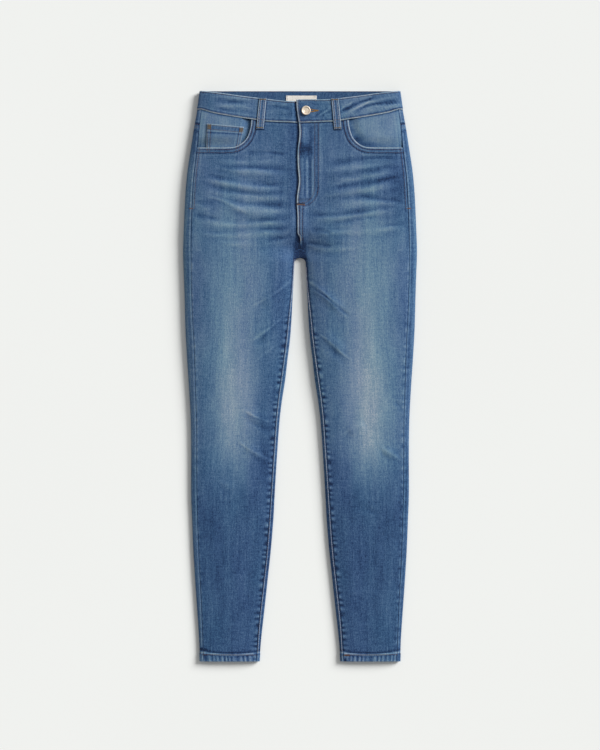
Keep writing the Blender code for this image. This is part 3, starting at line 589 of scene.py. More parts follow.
def polyline_distance(x, down, line):
    """Distance from a line of points."""
    best = np.full(x.shape, np.inf)
    for (x0, d0), (x1, d1) in zip(line, line[1:]):
        span = (x1 - x0) ** 2 + (d1 - d0) ** 2
        t = np.clip(((x - x0) * (x1 - x0) + (down - d0) * (d1 - d0)) / span, 0, 1)
        best = np.minimum(best, np.hypot(x - mix(x0, x1, t), down - mix(d0, d1, t)))
    return best


def scoop_ends(aside=0.0):
    """Rows of the scoop's edge, ended at the side seam or beside it: their x, and their down."""
    return list(zip(*SCOOP, (float(outseam(SCOOP_END, aside)), SCOOP_END)))


SCOOP_LINE = np.stack([by_index(values, np.linspace(0, len(SCOOP), 64)) for values in scoop_ends()], 1)
# down of the legs' rows at the side seam: closer together where the hem's cloth steps out
LEG_PLACES = np.concatenate([places(FORK_ROWS[0][0], 380, 1.9), places(382.4, HEM_TOP - 2.4, 2.4),
                             HEM_TOP + HEM_STEP * np.array([-1.5, -0.5, -0.25, 0, 0.25, 0.5, 1.5]),
                             places(HEM_TOP + 2, LENGTH, 1.5, fine_end=True)])


def seam_line(place, aside):
    """Inner leg seam at the side seam's place, moved aside towards the back."""
    rows = [*FORK_ROWS, *((down, float(along(INSEAM, down)), down) for down in (FORK_JOIN, FORK_END))]
    level = place >= FORK_JOIN
    spots, seam_x, seam_down = zip(*rows)
    x = np.where(level, along(INSEAM, place), along(list(zip(spots, seam_x)), place))
    down = np.where(level, place, along(list(zip(spots, seam_down)), place))
    dx, dd = np.gradient(x), np.gradient(down)
    length = np.hypot(dx, dd)
    return np.maximum(x - dd / length * aside, SEAM_HALF), down + dx / length * aside


def fork_edge(place, margin):
    """Edge of a leg between the legs, at the side seam's place and a margin into the cloth."""
    spots = [row[0] for row in FORK_ROWS]
    angles = [(spot, 90 * k / ARCH_ROWS) for k, spot in enumerate(spots[:ARCH_ROWS + 1])]
    turn = np.radians(along(angles, place))
    rows = [*zip(spots[ARCH_ROWS:], FORK_EDGE), (FORK_JOIN, FORK_JOIN), (FORK_END, FORK_END)]
    down = np.where(place >= FORK_JOIN, place, along(rows, place))
    on_arch = place < spots[ARCH_ROWS]
    x = np.where(on_arch, (FORK_HALF + margin) * np.sin(turn), along(INNER_LINE, down) + margin)
    down = np.where(on_arch, FORK_BASE - (FORK_RISE + margin) * np.cos(turn), down)
    return np.maximum(x, SEAM_HALF), down


# Meshes

def show(name, data):
    """New object in the scene, at the origin."""
    thing = bpy.data.objects.new(name, data)
    bpy.context.scene.collection.objects.link(thing)
    return thing


def make_piece(name, points, faces, material, sharp=None, wash=None, cloth_map=None):
    """Mesh object from points in mm, smooth but for edges sharper than an angle in degrees."""
    mesh = bpy.data.meshes.new(name)
    mesh.from_pydata((np.asarray(points) * MM).tolist(), [], faces)
    if wash is not None:
        store = mesh.attributes.new("wash", "FLOAT", "POINT")
        store.data.foreach_set("value", np.clip(wash, 0, 1).astype(np.float32))
    if cloth_map is not None:
        corners = np.empty(len(mesh.loops), int)
        mesh.loops.foreach_get("vertex_index", corners)
        layer = mesh.uv_layers.new(name="cloth")
        layer.data.foreach_set("uv", (cloth_map * MM)[corners].astype(np.float32).ravel())
    mesh.materials.append(material)
    if sharp is not None:
        mesh.shade_smooth()
        mesh.set_sharp_from_angle(angle=math.radians(sharp))
    mesh.update()
    return show(name, mesh)


class Cloth:
    """Grid of a cloth wall: places, both surfaces' heights, washes, and which points exist."""

    def __init__(self, side, x, down, outer, inner, wash, x_in=None, down_in=None, inner_wash=None,
                 across=None, under=False):
        self.side, self.x, self.down, self.outer, self.inner = side, x, down, outer, inner
        self.x_in = x if x_in is None else x_in
        self.down_in = down if down_in is None else down_in
        self.wash = np.broadcast_to(wash, x.shape)
        self.inner_wash = self.wash - 0.1 if inner_wash is None else np.broadcast_to(inner_wash, x.shape)
        self.across = run(x, down, outer, axis=1) if across is None else across
        self.here = np.ones(x.shape, bool)
        self.flip = (side < 0) != under

    def corners(self, grid):
        """The four corners of every quad that exists, from a grid of points."""
        four = [(slice(None, -1), slice(None, -1)), (slice(1, None), slice(None, -1)),
                (slice(1, None), slice(1, None)), (slice(None, -1), slice(1, None))]
        exists = np.all([self.here[corner] for corner in four], axis=0)
        return [grid[corner][exists] for corner in four]

    def area(self):
        """Square metres of one surface."""
        a, b, c, d = self.corners(np.stack([self.x, self.down, self.outer], -1) * MM)
        sizes = [np.linalg.norm(np.cross(near - a, far - a), axis=-1) for near, far in ((b, c), (c, d))]
        return float(np.sum(sizes)) / 2

    def make(self, name, material):
        """Closed mesh object of the wall."""
        here, count = self.here, int(self.here.sum())
        index = np.full(self.x.shape, -1)
        index[here] = np.arange(count)
        outer = np.stack(self.corners(index)[::-1 if self.flip else 1], 1)
        inner = outer[:, ::-1] + count
        edges = np.concatenate([outer[:, [i, (i + 1) % 4]] for i in range(4)])
        codes = edges @ (2 * count, 1)
        rim = edges[~np.isin(codes, edges @ (1, 2 * count))]
        walls = np.concatenate([rim[:, ::-1], rim + count], 1)
        surfaces = [np.stack([self.side * x[here], TOP - down[here], z[here]], 1) for x, down, z in (
            (self.x, self.down, self.outer), (self.x_in, self.down_in, self.inner))]
        lengthwise = np.broadcast_to(self.down, self.across.shape)
        cloth_map = np.stack([self.across[here], lengthwise[here]], 1)
        faces = np.concatenate([outer, inner, walls]).tolist()
        return make_piece(name, np.concatenate(surfaces), faces, material, sharp=35,
                          wash=np.concatenate([self.wash[here], self.inner_wash[here]]),
                          cloth_map=np.concatenate([cloth_map, cloth_map]))


# Fronts

def front_rows(side):
    """Both ends of every front row, and how far the row is bent to the waistband's seam."""
    last = len(SCOOP)
    k = np.concatenate([[0, 0.02, 0.05, 0.10, 0.16, 0.24], np.linspace(0.34, last, 56)])
    centre = mix(float(band_seam(0)) + SEAM_HALF, SCOOP_CENTRE, k / last)
    scoop_x, scoop_down = (by_index(values, k) for values in scoop_ends(-SEAM_HALF))
    legs_x, legs_down = seam_line(LEG_PLACES, -SEAM_HALF)
    share = np.linspace(0, 1, 84)[1:-1]
    seat = mix(SCOOP_CENTRE, legs_down[0], share)
    seat_side = mix(SCOOP_END, LEG_PLACES[0], share)
    x0 = np.concatenate([front_edge(centre, side), front_edge(seat, side), legs_x])
    d0 = np.concatenate([centre, seat, legs_down])
    x1 = np.concatenate([scoop_x, outseam(seat_side, -SEAM_HALF), outseam(LEG_PLACES, -SEAM_HALF)])
    d1 = np.concatenate([scoop_down, seat_side, LEG_PLACES])
    return x0, d0, x1, d1, np.concatenate([np.clip(1 - k, 0, 1), np.zeros(len(d0) - len(k))])


def fly_line(inside):
    """The fly's curved stitching on the left front, moved inside towards the centre."""
    turn = np.linspace(0, math.pi / 2, 24)
    out, low = FLY_OUT[0] - inside, FLY_DEEP - inside
    x = np.concatenate([np.full(40, out), FLY_OUT[1] + (out - FLY_OUT[1]) * np.cos(turn)])
    return np.stack([x, np.concatenate([np.linspace(FLY_DOWN[0], FLY_DOWN[1] - 1, 40),
                                        FLY_DOWN[1] + low * np.sin(turn)])], 1)


def add_up(*forms):
    """Sums of the heights and of the washes of several forms."""
    return sum(form[0] for form in forms), sum(form[1] for form in forms)


def front_seams(side, down, to_in, to_out):
    """Puckers and worn lines of a front beside its inner leg seam and its side seam."""
    legs, below_scoop = grow(down, 300, 30), grow(down, SCOOP_END + 1, 6)
    inner = seam_form(to_in, down, 3 + side, 0.54 * (0.2 + 0.8 * grow(down, 380, 80)), INSEAM_PITCH, 6)
    outer = seam_form(to_out, down, 5 + side, 0.22 * side_pull(side, down), OUTSEAM_PITCH, 4.5,
                      0.26 - 0.16 * grow(down, *SEAM_FADES))
    worn = grow(down, 230, 70) * bump(to_out, 1.2, 1.4) * (0.12 + 0.12 * uneven(down, OUTSEAM_PITCH, 4))
    beside = hills(to_out, (0.36, 2.2, 1), (-0.16, 5, 1.3), (0.10, 7.6, 1.5)) * fade(down, (SIDE_TACK, 250))
    return (inner[0] * legs + outer[0] * below_scoop,
            inner[1] * legs + (outer[1] + beside) * below_scoop + worn)


def scoop_form(x, down):
    """Edge band of a front along the scoop, between and beside its two rows of stitching."""
    to_scoop = polyline_distance(x, down, SCOOP_LINE)
    near = fade(down, (SCOOP_END + 14, SCOOP_END + 24))
    return (near * hills(to_scoop, (0.22, 6.4, 2.2), (0.12, 1.6, 1.2), (-0.10, 3.8, 0.8), (-0.14, 9.4, 0.9)),
            near * hills(to_scoop, (0.62, 0.7, 1.3), (0.10, 6.6, 1.5), (-0.26, 3.7, 1.2), (-0.32, 10, 1.5),
                         (0.12, 13.4, 1.8)))


def fly_form(x, down):
    """The left front by the fly: its rows, the ridges of the zip below, and the turned edge."""
    to_fly, to_middle = (polyline_distance(x, down, fly_line(inside)[::2]) for inside in (0, FLY_TWIN / 2))
    ridges = hills(x, (0.6, 4.6, 1.7), (1, 12.8, 1.7), (0.9, 22.8, 1.5), (-0.7, 8.8, 1.3), (-0.8, 17.8, 2))
    ridges = ridges * grow(down, 116, 12) * fade(down, (186, 198))
    above = grow(down, 62, 6) * fade(down, (88, 100))
    strip = grow(down, 206, 6) * fade(down, (262, 278))
    lap = fade(down, (LAP_END[1], LAP_LEVEL))
    rise = (0.22 * ease((26.5 - x) / 2) * fade(down, (196, 214)) - 0.20 * bump(to_fly, 0, 1.6) + 0.20 * ridges
            + strip * hills(x, (0.16, 2.2, 1.8), (-0.14, -0.6, 0.9), (-0.10, 5, 1.2)))
    wash = (hills(to_fly, (-0.10, 0, 1.5), (0.16, 3.2, 1.3)) - 0.11 * bump(to_middle, 0, 3.4) + 0.30 * ridges
            - 0.32 * bump(down, 106, 12.5) * ease((24.5 - x) / 5)
            + 0.12 * bump(x, 38, 4) * bump(down, 125, 40)
            + above * hills(x, (0.13, 9, 6), (-0.16, 20.5, 4))
            + lap * hills(x - front_edge(down), (0.80, 1.2, 1.5), (-0.16, 4.6, 1.3))
            + strip * hills(x, (0.42, 2.2, 1.1), (-0.34, -0.7, 1), (-0.30, 5, 1.2)))
    return rise, wash


def shaded_form(x, down):
    """The right front beside the edge of the left one, which lies on it: shadow only."""
    edge = -lap_edge(down)
    return 0, (-0.42 * fade(down, (LAP_END[1], LAP_LEVEL)) * fade(x, (edge + 1, edge + 5.5))
               - 0.10 * fade(x, (6, 30)) * fade(down, (200, 240)))


def front_form(side, x, down, to_in, to_out):
    """Relief and washes of a front panel over the plain form."""
    inner_leg = bump(x, along(INNER_LINE, down) + 14, 22) * grow(down, 300, 30) * fade(down, (640, 700))
    # Painted shadows in this wash: the dark line just under the waistband's seam, the belt loops' shadows,
    # and the shade in the middle of the fork.
    wash = (along(SHADE, down) + patch_wash(PALE, side, x, down) - loop_shade(side, x, down)
            + hills(down - band_seam(x), (-0.40, 0.4, 1.6), (0.12, 3.4, 1.3), (-0.05, 6, 1.6))
            - 0.40 * blot(x, down, 0, *FORK_SHADE) + (0.04 if side > 0 else -0.05) * inner_leg)
    return add_up((0, wash), crease_field(CREASES, side, x, down), front_seams(side, down, to_in, to_out),
                  hem_form(side, x, down, 2 * side), scoop_form(x, down),
                  fly_form(x, down) if side > 0 else shaded_form(x, down))


def grain_line(down):
    """x of a leg's straight grain: down its middle."""
    down = np.maximum(down, FORK_BASE)
    return (along(INNER_LINE, down) + along(SIDE_LINE, down)) / 2


def front_panel(side):
    """A front leg panel, from its centre edge and inner seam to the scoop and side seam."""
    x0, d0, x1, d1, bend = (values[:, None] for values in front_rows(side))
    length = np.hypot(x1 - x0, d1 - d0)
    share = spread(length[:, 0], 84)
    x, down = mix(x0, x1, share), mix(d0, d1, share)
    down = mix(down, along(BAND_SEAM, x) + SEAM_HALF, bend)
    to_in, to_out, to_top = share * length, (1 - share) * length, down - band_seam(x) - SEAM_HALF
    rise, wash = front_form(side, x, down, to_in, to_out)
    rolled = roll(to_in, 0.55) + roll(to_out, 0.6) + roll(to_top, 0.5) + roll(LENGTH - down, 0.9)
    level, hem = lap_depth(side, x, down), hem_share(down)
    outer = height(side, x, down, level - HEM_OUT * hem) + rise - np.minimum(rolled, 0.62)
    inner = height(side, x, down, level + CLOTH + HEM_IN * hem) + rise + np.minimum(rolled, 0.35)
    return Cloth(side, x, down, outer, inner, wash, across=x - grain_line(down) + side)


# Backs and yokes: columns from the side seam out to the fold, round it, and on along the underside

BROW = (0, 0.02, 0.05, 0.10, 0.17, 0.26, 0.38, 0.52, 0.66, 0.78, 0.88, 0.95, 0.985, 1)
TURNS = (15, 30, 45, 60, 75, 90)
UNDER = 26
INNER = (0.06, 0.15, 0.3, 0.5, 0.68, 0.82, 0.91, 0.96, 0.985, 1)      # past the inner fold, to the inner seam


def wrapped(side, place, far_x, far_down, depth, seam=None):
    """Grid of one surface from the side seam round the outer fold to a far end underneath."""
    far_x, far_down, depth = (np.broadcast_to(v, place.shape)[:, None] for v in (far_x, far_down, depth))
    place = place[:, None]
    edge = along(SIDE_LINE, place)
    brow = mix(outseam(place, SEAM_HALF) if seam is None else seam, edge - depth, np.array(BROW))
    turn = np.radians(TURNS)
    under = np.arange(1, UNDER + 1) / UNDER
    under_down = mix(place, far_down, under)
    level = np.broadcast_to(place, (len(place), len(BROW) + len(TURNS)))
    x = [brow, edge - FOLD + (FOLD - depth) * np.cos(turn), mix(edge - FOLD, far_x, under)]
    z = [height(side, brow, level[:, :len(BROW)], depth),
         mix(widest(place), bed(place) + depth, np.sin(turn)), bed(under_down) + depth]
    return [np.concatenate(parts, 1) for parts in (x, [level, under_down], z)]


def under_form(side, x, down):
    """Lift and washes of the hidden underside, where cloth only ever rises from the table."""
    rise, tone = crease_field(BACK_CREASES, side, x, down)
    hidden = np.arange(x.shape[1]) >= len(BROW) + len(TURNS) // 2
    return (hidden * np.maximum(-rise, 0),
            along(SHADE, down) + hidden * (patch_wash(BACK_PALE, side, x, down) + tone))


def back_grid(side, place, far, seam, level):
    """Grid of one surface of a back panel at a depth for each row, with blank corners beside the seat."""
    seat = len(place) - len(LEG_PLACES)
    whole = np.stack(wrapped(side, place, *far, level))
    level = level[seat:]
    columns = []
    for turn in np.radians(TURNS[-2::-1]):
        x, down = fork_edge(LEG_PLACES, FOLD - (FOLD - level) * np.cos(turn))
        columns.append((x, down, mix(widest(down), bed(far[1][seat:]) + level, np.sin(turn))))
    edge = fork_edge(LEG_PLACES, level)
    columns.append((*edge, widest(edge[1])))
    for part in INNER:
        x, down = (mix(edge[i], seam[i], part) for i in range(2))
        columns.append((x, down, height(side, x, down, level)))
    blank = np.zeros((3, seat, len(columns)))
    return np.concatenate([whole, np.concatenate([blank, np.transpose(columns, (1, 2, 0))], 1)], 2)


def back_panel(side):
    """A back leg panel: side seam, outer fold, underside, inner fold and inner leg seam."""
    top, top_centre = (down + SEAM_HALF for down in YOKE_SEAM)
    seat_places = places(top, LEG_PLACES[0], 2.6, fine_start=True)[:-1]
    seat, place = len(seat_places), np.concatenate([seat_places, LEG_PLACES])
    edge_x, edge_down = fork_edge(LEG_PLACES, FOLD)
    centre = mix(top_centre, edge_down[0], (seat_places - top) / (LEG_PLACES[0] - top))
    far = np.concatenate([np.full(seat, SEAM_HALF), edge_x]), np.concatenate([centre, edge_down])
    seam = seam_line(LEG_PLACES, SEAM_HALF)
    (x, down, outer), (x_in, down_in, inner) = (
        back_grid(side, place, far, seam, depth + hem * hem_share(place))
        for depth, hem in ((0, -HEM_OUT), (CLOTH, HEM_IN)))
    column = np.arange(x.shape[1])
    brow, inward = column < len(BROW), column >= len(column) - len(INNER) - 2
    to_out = np.where(brow, x - outseam(down, SEAM_HALF), AWAY)
    to_in = np.hypot(x[seat:] - seam[0][:, None], down[seat:] - seam[1][:, None])
    to_in = np.concatenate([np.full((seat, len(column)), AWAY), np.where(inward, to_in, AWAY)])
    to_top = down - mix(top, top_centre, np.clip(1 - x / BACK_HALF, 0, 1))
    rise, tone = add_up(
        seam_form(to_out, down, 5 + side, 0.12 * side_pull(side, down), OUTSEAM_PITCH, 5,
                  0.26 - 0.14 * grow(down, *SEAM_FADES)),
        seam_form(to_in, down, 3 + side, 0.12, INSEAM_PITCH, 6), hem_form(side, x, down, 2 * side + 1))
    lift, wash = under_form(side, x, down)
    worn = (0.38 - 0.24 * grow(down, *SEAM_FADES)) * (0.85 + 0.3 * uneven(down, OUTSEAM_PITCH, 4))
    wash = (wash + tone + worn * bump(to_out, 2, 1.1) * grow(down, 70, 8) - 0.12 * bump(to_out, 5.2, 1.6)
            + hills(to_in, (0.34, 1.8, 0.8), (-0.22, 4.4, 1.2))
            + hills(to_top, (-0.42, 0.2, 1.3), (0.18, 6.5, 5), (-0.30, 13.5, 1.4))
            + brow * (0.19 if side < 0 else 0.05) * grow(down, 90, 60)
            + inward * (0.04 if side < 0 else 0.12) * grow(down, 330, 60)
            # painted shade on the inner strip by the fork
            - 0.34 * inward * bump(place, 305, 22)[:, None])
    rolled = np.minimum(roll(to_out, 0.5) + roll(to_in, 0.5) + roll(to_top, 0.45), 0.6) * (brow | inward)
    rise = np.where(brow | inward, rise, lift)
    cloth = Cloth(side, x, down, outer + rise - rolled, inner + rise + 0.5 * rolled, wash, x_in, down_in,
                  across=run(x, down, outer, axis=1), under=True)
    cloth.here[:seat, -(len(TURNS) + len(INNER)):] = False
    return cloth


def yoke_panel(side):
    """A back yoke, from the side seam round the fold to the centre back."""
    share = np.concatenate([[0, 0.012, 0.03, 0.06], np.linspace(0.1, 0.9, 14), [0.94, 0.97, 0.988, 1]])
    place, centre = (mix(start + SEAM_HALF, end - SEAM_HALF, share)
                     for start, end in zip(BACK_BAND_SEAM, YOKE_SEAM))
    x, down, outer = wrapped(side, place, SEAM_HALF, centre, 0)
    x_in, down_in, inner = wrapped(side, place, SEAM_HALF, centre, CLOTH)
    lift, wash = under_form(side, x, down)
    brow = np.arange(x.shape[1]) < len(BROW)
    to_out = np.where(brow, x - outseam(down, SEAM_HALF), AWAY)
    to_end = np.minimum(share, 1 - share)[:, None] * mix(23, 60, np.clip(1 - x / BACK_HALF, 0, 1))
    wash = wash + 0.22 * bump(to_out, 2, 1.2) + hills(to_end, (-0.26, 0, 1.1), (0.14, 3, 1.6))
    rolled = np.minimum(roll(to_out, 0.5) + roll(to_end, 0.5), 0.6) * brow
    return Cloth(side, x, down, outer + lift - rolled, inner + lift + 0.5 * rolled, wash, x_in, down_in,
                 under=True)


# Waistband

def band_half(side, share, depth):
    """One surface of half the waistband, from its front end round to the centre back."""
    front = places(-LAP if side > 0 else -BAND_UNDERLAP, BAND_END, 1.5, fine_start=True)
    down = mix(band_top(side, front), band_seam(front) - SEAM_HALF, share[:, None])
    if side > 0:
        level = depth - BAND_OVER_LIFT * fade(front, BAND_OVER_FADE)
    else:
        level = depth + BAND_UNDER_DROP * fade(front, BAND_UNDER_FADE)
    x = front + along(LAP_WAVE, down) * fade(front, (0, 40)) * (side > 0)
    place, centre = (mix(0, seam - SEAM_HALF, share) for seam in BACK_BAND_SEAM)
    back = wrapped(side, place, 0, centre, depth, seam=BAND_END)
    return [np.concatenate([near, far[:, 1:]], 1)
            for near, far in zip((x, down, height(side, x, down, level)), back)]


def band_panel():
    """The waistband, from its right end round the back to its left end, on top at the front."""
    share = np.concatenate([[0, 0.006, 0.016, 0.035, 0.06], np.linspace(0.1, 0.9, 15),
                            [0.94, 0.965, 0.984, 0.994, 1]])
    halves = []
    for side, _ in SIDES:
        x, down, outer = band_half(side, share, -BAND_PROUD)
        x_in, down_in, inner = band_half(side, share, BAND_CLOTH - BAND_PROUD)
        on_top = np.arange(x.shape[1]) < x.shape[1] - UNDER - len(TURNS)
        size = band_seam(x) - band_top(side, x)
        to_top, to_seam, to_end = share[:, None] * size, (1 - share[:, None]) * size, x - x[:, :1]
        lengthwise = np.cumsum(np.hypot(np.gradient(x, axis=1), np.gradient(down, axis=1)), axis=1)
        pull = uneven(lengthwise, 11, 1 + side) * (bump(to_top, 3.2, 2.4) + bump(to_seam, 4.2, 3))
        rise, tone = crease_field(BAND_CREASES, side, x, down)
        rise = (rise + 0.10 * pull - 0.13 * bump(to_top, 2.4, 0.8) - 0.13 * bump(to_seam, 2.4, 0.8)) * on_top
        over = LAP - along(LAP_WAVE, down)
        wash = (0.375 + 0.12 * bump(down, 30, 22) * bump(x, 105, 62) + 0.05 * pull - 0.05 * fade(x, (20, 60))
                + hills(to_top, (0.54, 0.6, 1.1), (-0.28, 2.6, 0.9), (0.20, 4.6, 1))
                + hills(to_seam, (0.66, 1, 1.15), (-0.36, 3.2, 1), (0.14, 5.4, 1.1))
                # painted shadows: the under end's shade beside the over end's edge, and the belt loops'
                # shadows
                + (0.75 * bump(to_end, 1.2, 1.5) if side > 0 else -0.42 * fade(x, (over, over + 6)))
                + (tone - loop_shade(side, x, down)) * on_top)
        rolled = roll(to_top, 1.1) + roll(to_seam, 0.9) + roll(to_end, 1) * (to_end < 2)
        rolled = np.minimum(rolled, 1.1) * on_top
        halves.append((side * x, down, outer + rise - rolled, inner + rise + 0.7 * rolled, wash,
                       side * x_in, down_in))
    joined = [np.concatenate([right, left[:, -2::-1]], 1) for right, left in zip(*halves)]
    return Cloth(1, *joined, inner_wash=INNER_WASH)


# Pockets

def scoop_distance(x, down):
    """Distance from the scoop's edge: more than 0 in the pocket's mouth, 0 under the front."""
    inside = (x >= SCOOP_LINE[0, 0]) & (down <= np.interp(x, *SCOOP_LINE.T))
    return np.where(inside, polyline_distance(x, down, SCOOP_LINE), 0)


def facing_depth(side, x, down):
    """Depth of the facing's face: under the front by the scoop, up at the skin by the side seam."""
    drop = CLOTH + FACING_CLEAR + (COIN_CLOTH + COIN_GAP if side < 0 else 0)
    return drop * fade(scoop_distance(x, down), FACING_RISE)


def facing_panel(side):
    """The cloth behind a scoop pocket's mouth."""
    k = np.concatenate([[0, 0.02, 0.05, 0.1], np.linspace(0.2, len(FACING) - 1, 34)])
    x0, d0, d1 = (by_index(values, k)[:, None] for values in zip(*FACING))
    x1 = outseam(d1, -SEAM_HALF)
    length = np.hypot(x1 - x0, d1 - d0)
    share = spread(length[:, 0], 44)
    x, down = mix(x0, x1, share), mix(d0, d1, share)
    down = mix(down, band_seam(x) + SEAM_HALF, np.clip(1 - k, 0, 1)[:, None])
    depth = facing_depth(side, x, down)
    to_out, to_band = (1 - share) * length, down - band_seam(x) - SEAM_HALF
    # Painted shade: darker where the facing sinks under the scoop's edge, and a painted shadow just under the
    # waistband's seam.
    wash = (0.595 - 0.17 * fade(scoop_distance(x, down), (2, 13)) - 0.34 * bump(to_band, 0.5, 1.6)
            + hills(to_out, (-0.26, 0, 1), (-0.12, 5.4, 1.2), (0.10, 8, 1.5))
            + 0.24 * bump(to_out, 2.6, 1) * (0.8 + 0.4 * uneven(down, 6, 1))
            + 0.05 * np.sin(x * 0.11 + side) * np.sin(down * 0.13) + patch_wash(FACING_FOLDS, side, x, down))
    rise = 0.15 * np.sin(x * 0.11 + 1) * np.sin(down * 0.13 + side) * ease(to_band / 8) * ease(to_out / 8)
    rolled = np.minimum(roll(to_out, 0.5) + roll(to_band, 0.5), 0.5)
    return Cloth(side, x, down, height(side, x, down, depth) + rise - rolled,
                 height(side, x, down, depth + POCKET_CLOTH) + rise + 0.4 * rolled, wash, across=x)


def patch(corners, across, lengthwise):
    """Grid over four corners, closer by its edges, and the distances from its sides and top."""
    (ax, ad), (bx, bd), (cx, cd), (dx, dd) = corners
    wide, long = math.hypot(bx - ax, bd - ad), math.hypot(dx - ax, dd - ad)
    v, u = np.meshgrid(spread(long, lengthwise)[0], spread(wide, across)[0], indexing="ij")
    x = mix(mix(ax, bx, u), mix(dx, cx, u), v)
    down = mix(mix(ad, bd, u), mix(dd, cd, u), v)
    return x, down, np.minimum(u, 1 - u) * wide, v * long


def upright(x, down, across, lengthwise):
    """The same over an upright rectangle."""
    return patch([(x[0], down[0]), (x[1], down[0]), (x[1], down[1]), (x[0], down[1])], across, lengthwise)


def coin_panel():
    """The small patch pocket on the right facing."""
    x, down, to_side, to_top = patch(COIN_CORNERS, 34, 28)
    depth = facing_depth(-1, x, down)
    pull = uneven(x, 6.5, 2) * bump(to_top, 6, 4)
    rise = (0.10 * fade(to_top, (COIN_HEM, COIN_HEM + 1)) + 0.12 * bump(x, 138, 16) * bump(to_top, 17, 9)
            + hills(to_side, (0.18, 3.4, 1.8), (-0.08, 1.7, 0.6), (-0.08, 5.4, 0.7)) + 0.05 * pull)
    wash = (0.53 + 0.13 * bump(to_top, 26, 9) * bump(to_side, 33, 22) + 0.10 * pull
            + hills(to_top, (0.34, 0.6, 1.3), (-0.13, 6.2, 3.6), (0.30, COIN_HEM, 1.1),
                    (-0.36, COIN_HEM + 2.4, 1.4))
            + hills(to_side, (0.26, 0.6, 1.1), (-0.20, 2.6, 0.9), (0.16, 4.6, 1), (-0.24, 7, 1.1)))
    rolled = np.minimum(roll(to_side, 0.55) + roll(to_top, 0.55), 0.55)
    return Cloth(-1, x, down, height(-1, x, down, depth - COIN_GAP - COIN_CLOTH) + rise - rolled,
                 height(-1, x, down, depth - COIN_GAP) + 0.3 * rolled, wash)


def back_pocket(side):
    """A plain patch pocket of the hidden back."""
    (ax, ad), (bx, bd), (cx, cd), (tip_x, tip_down), (ex, ed) = BACK_POCKET
    u = np.concatenate([spread(63, 18)[0][:-1] * TIP_SHARE, [TIP_SHARE],
                        1 - spread(55, 16)[0][:-1][::-1] * (1 - TIP_SHARE)])
    v = spread(100, 34)[0][:, None]
    low_x, low_down = (np.interp(u, (0, TIP_SHARE, 1), ends)
                       for ends in ((ex, tip_x, cx), (ed, tip_down, cd)))
    x, down = mix(mix(ax, bx, u), low_x, v), mix(mix(ad, bd, u), low_down, v)
    to_edge = polyline_distance(x, down, [*BACK_POCKET, BACK_POCKET[0]])
    to_top = polyline_distance(x, down, BACK_POCKET[:2])
    groove = bump(to_edge, 2.2, 0.8) + bump(to_edge, 8, 0.8) * (to_top > 9) + bump(to_top, 20, 0.8)
    wash = (0.46 + 0.12 * bump(to_edge, 0.6, 1) - 0.08 * groove + 0.10 * bump(x, 93, 40) * bump(down, 165, 45)
            + 0.04 * uneven(x + down, 8, 1) * bump(to_edge, 5, 4))
    rolled = roll(to_edge, 0.5)
    return Cloth(side, x, down, 0.14 * groove + rolled, CLOTH - 0.3 * rolled, wash, under=True)


# Belt loops, zip tape and label

def loop_form(top, low, columns, step):
    """A belt loop's grid, with two soft ridges along it, rolled sides and the pull of its end tacks."""
    down, across = np.meshgrid(places(top, low, step, fine_start=True, fine_end=True),
                               (spread(LOOP_WIDE, columns)[0] - 0.5) * LOOP_WIDE, indexing="ij")
    to_side, to_end = LOOP_WIDE / 2 - np.abs(across), np.minimum(down - top, low - down)
    ridges = hills(to_side, (1, 4.6, 1.2), (-0.9, 2.6, 0.8), (-0.8, LOOP_WIDE / 2, 0.9))
    tack_pull, pull = bump(to_end, 2.6, 1.4), uneven(down, 5, 1)
    rise = 0.22 * ridges * (1 - tack_pull) - 0.22 * tack_pull + 0.06 * pull
    wash = 0.36 + 0.22 * ridges + 0.66 * bump(to_side, 0.7, 1) - 0.14 * tack_pull + 0.07 * pull
    return across, down, rise, wash, np.minimum(roll(to_side, 0.6) + roll(to_end, 0.5), 0.6)


def front_loop(side):
    """A belt loop of the front, over the waistband and the panel below it."""
    top, low = float(band_top(side, LOOP_FRONT_X[side][0])) - 0.5, loop_end(side)
    across, down, rise, wash, rolled = loop_form(top, low, 14, 1.1)
    x = loop_middle(side, down) + across
    over = BAND_PROUD * fade(down - low + LOOP_BELOW, LOOP_STEP) + ON_TOP
    return Cloth(side, x, down, height(side, x, down, -over - CLOTH) + rise - rolled,
                 height(side, x, down, -over) + 0.3 * rolled, wash)


def flat_loop(side=0):
    """A belt loop of the hidden back, pressed flat under the garment."""
    across, down, rise, wash, rolled = loop_form(0, BACK_BAND_SEAM[1] + LOOP_BELOW, 10, 1.6)
    return Cloth(1, side * LOOP_BACK_X + across, down, 0.5 * np.maximum(-rise, 0) + rolled,
                 CLOTH - 0.3 * rolled, wash, under=True)


def zip_tape():
    """The closed zip's tape under the fly."""
    x, down, to_side, _ = upright(ZIP_X, ZIP_DOWN, 12, 60)
    outer = height(1, x, down, ZIP_DEPTH[0]) - 0.12 * bump(to_side, 3.5, 0.6) - roll(to_side, 0.4)
    return Cloth(1, x, down, outer, height(1, x, down, ZIP_DEPTH[1]), 0.5)


def label_cloth():
    """The bare label on the inside of the back waistband, with both ends turned in."""
    x, down, to_side, to_top = upright(LABEL_X, LABEL_DOWN, 44, 18)
    edge = np.minimum(to_side, np.minimum(to_top, LABEL_DOWN[1] - down))
    low = LOOP_BED + BAND_CLOTH - BAND_PROUD + ON_TOP
    turned_in = fade(to_side, (4.5, 5.2))
    rise = 0.22 * (turned_in - 1) - 0.12 * bump(to_side, 2.4, 0.6) + 0.05 * np.sin(x * 0.3) * ease(edge / 4)
    return Cloth(1, x, down, low + LABEL_THICK + rise - roll(edge, 0.4), np.full(x.shape, low),
                 0.5 + 0.1 * turned_in)


# Finishes

def srgb(*levels):
    """Linear colour from the values of a screen."""
    return tuple(c / 12.92 if c <= 0.04045 else ((c + 0.055) / 1.055) ** 2.4
                 for c in (level / 255 for level in levels)) + (1.0,)


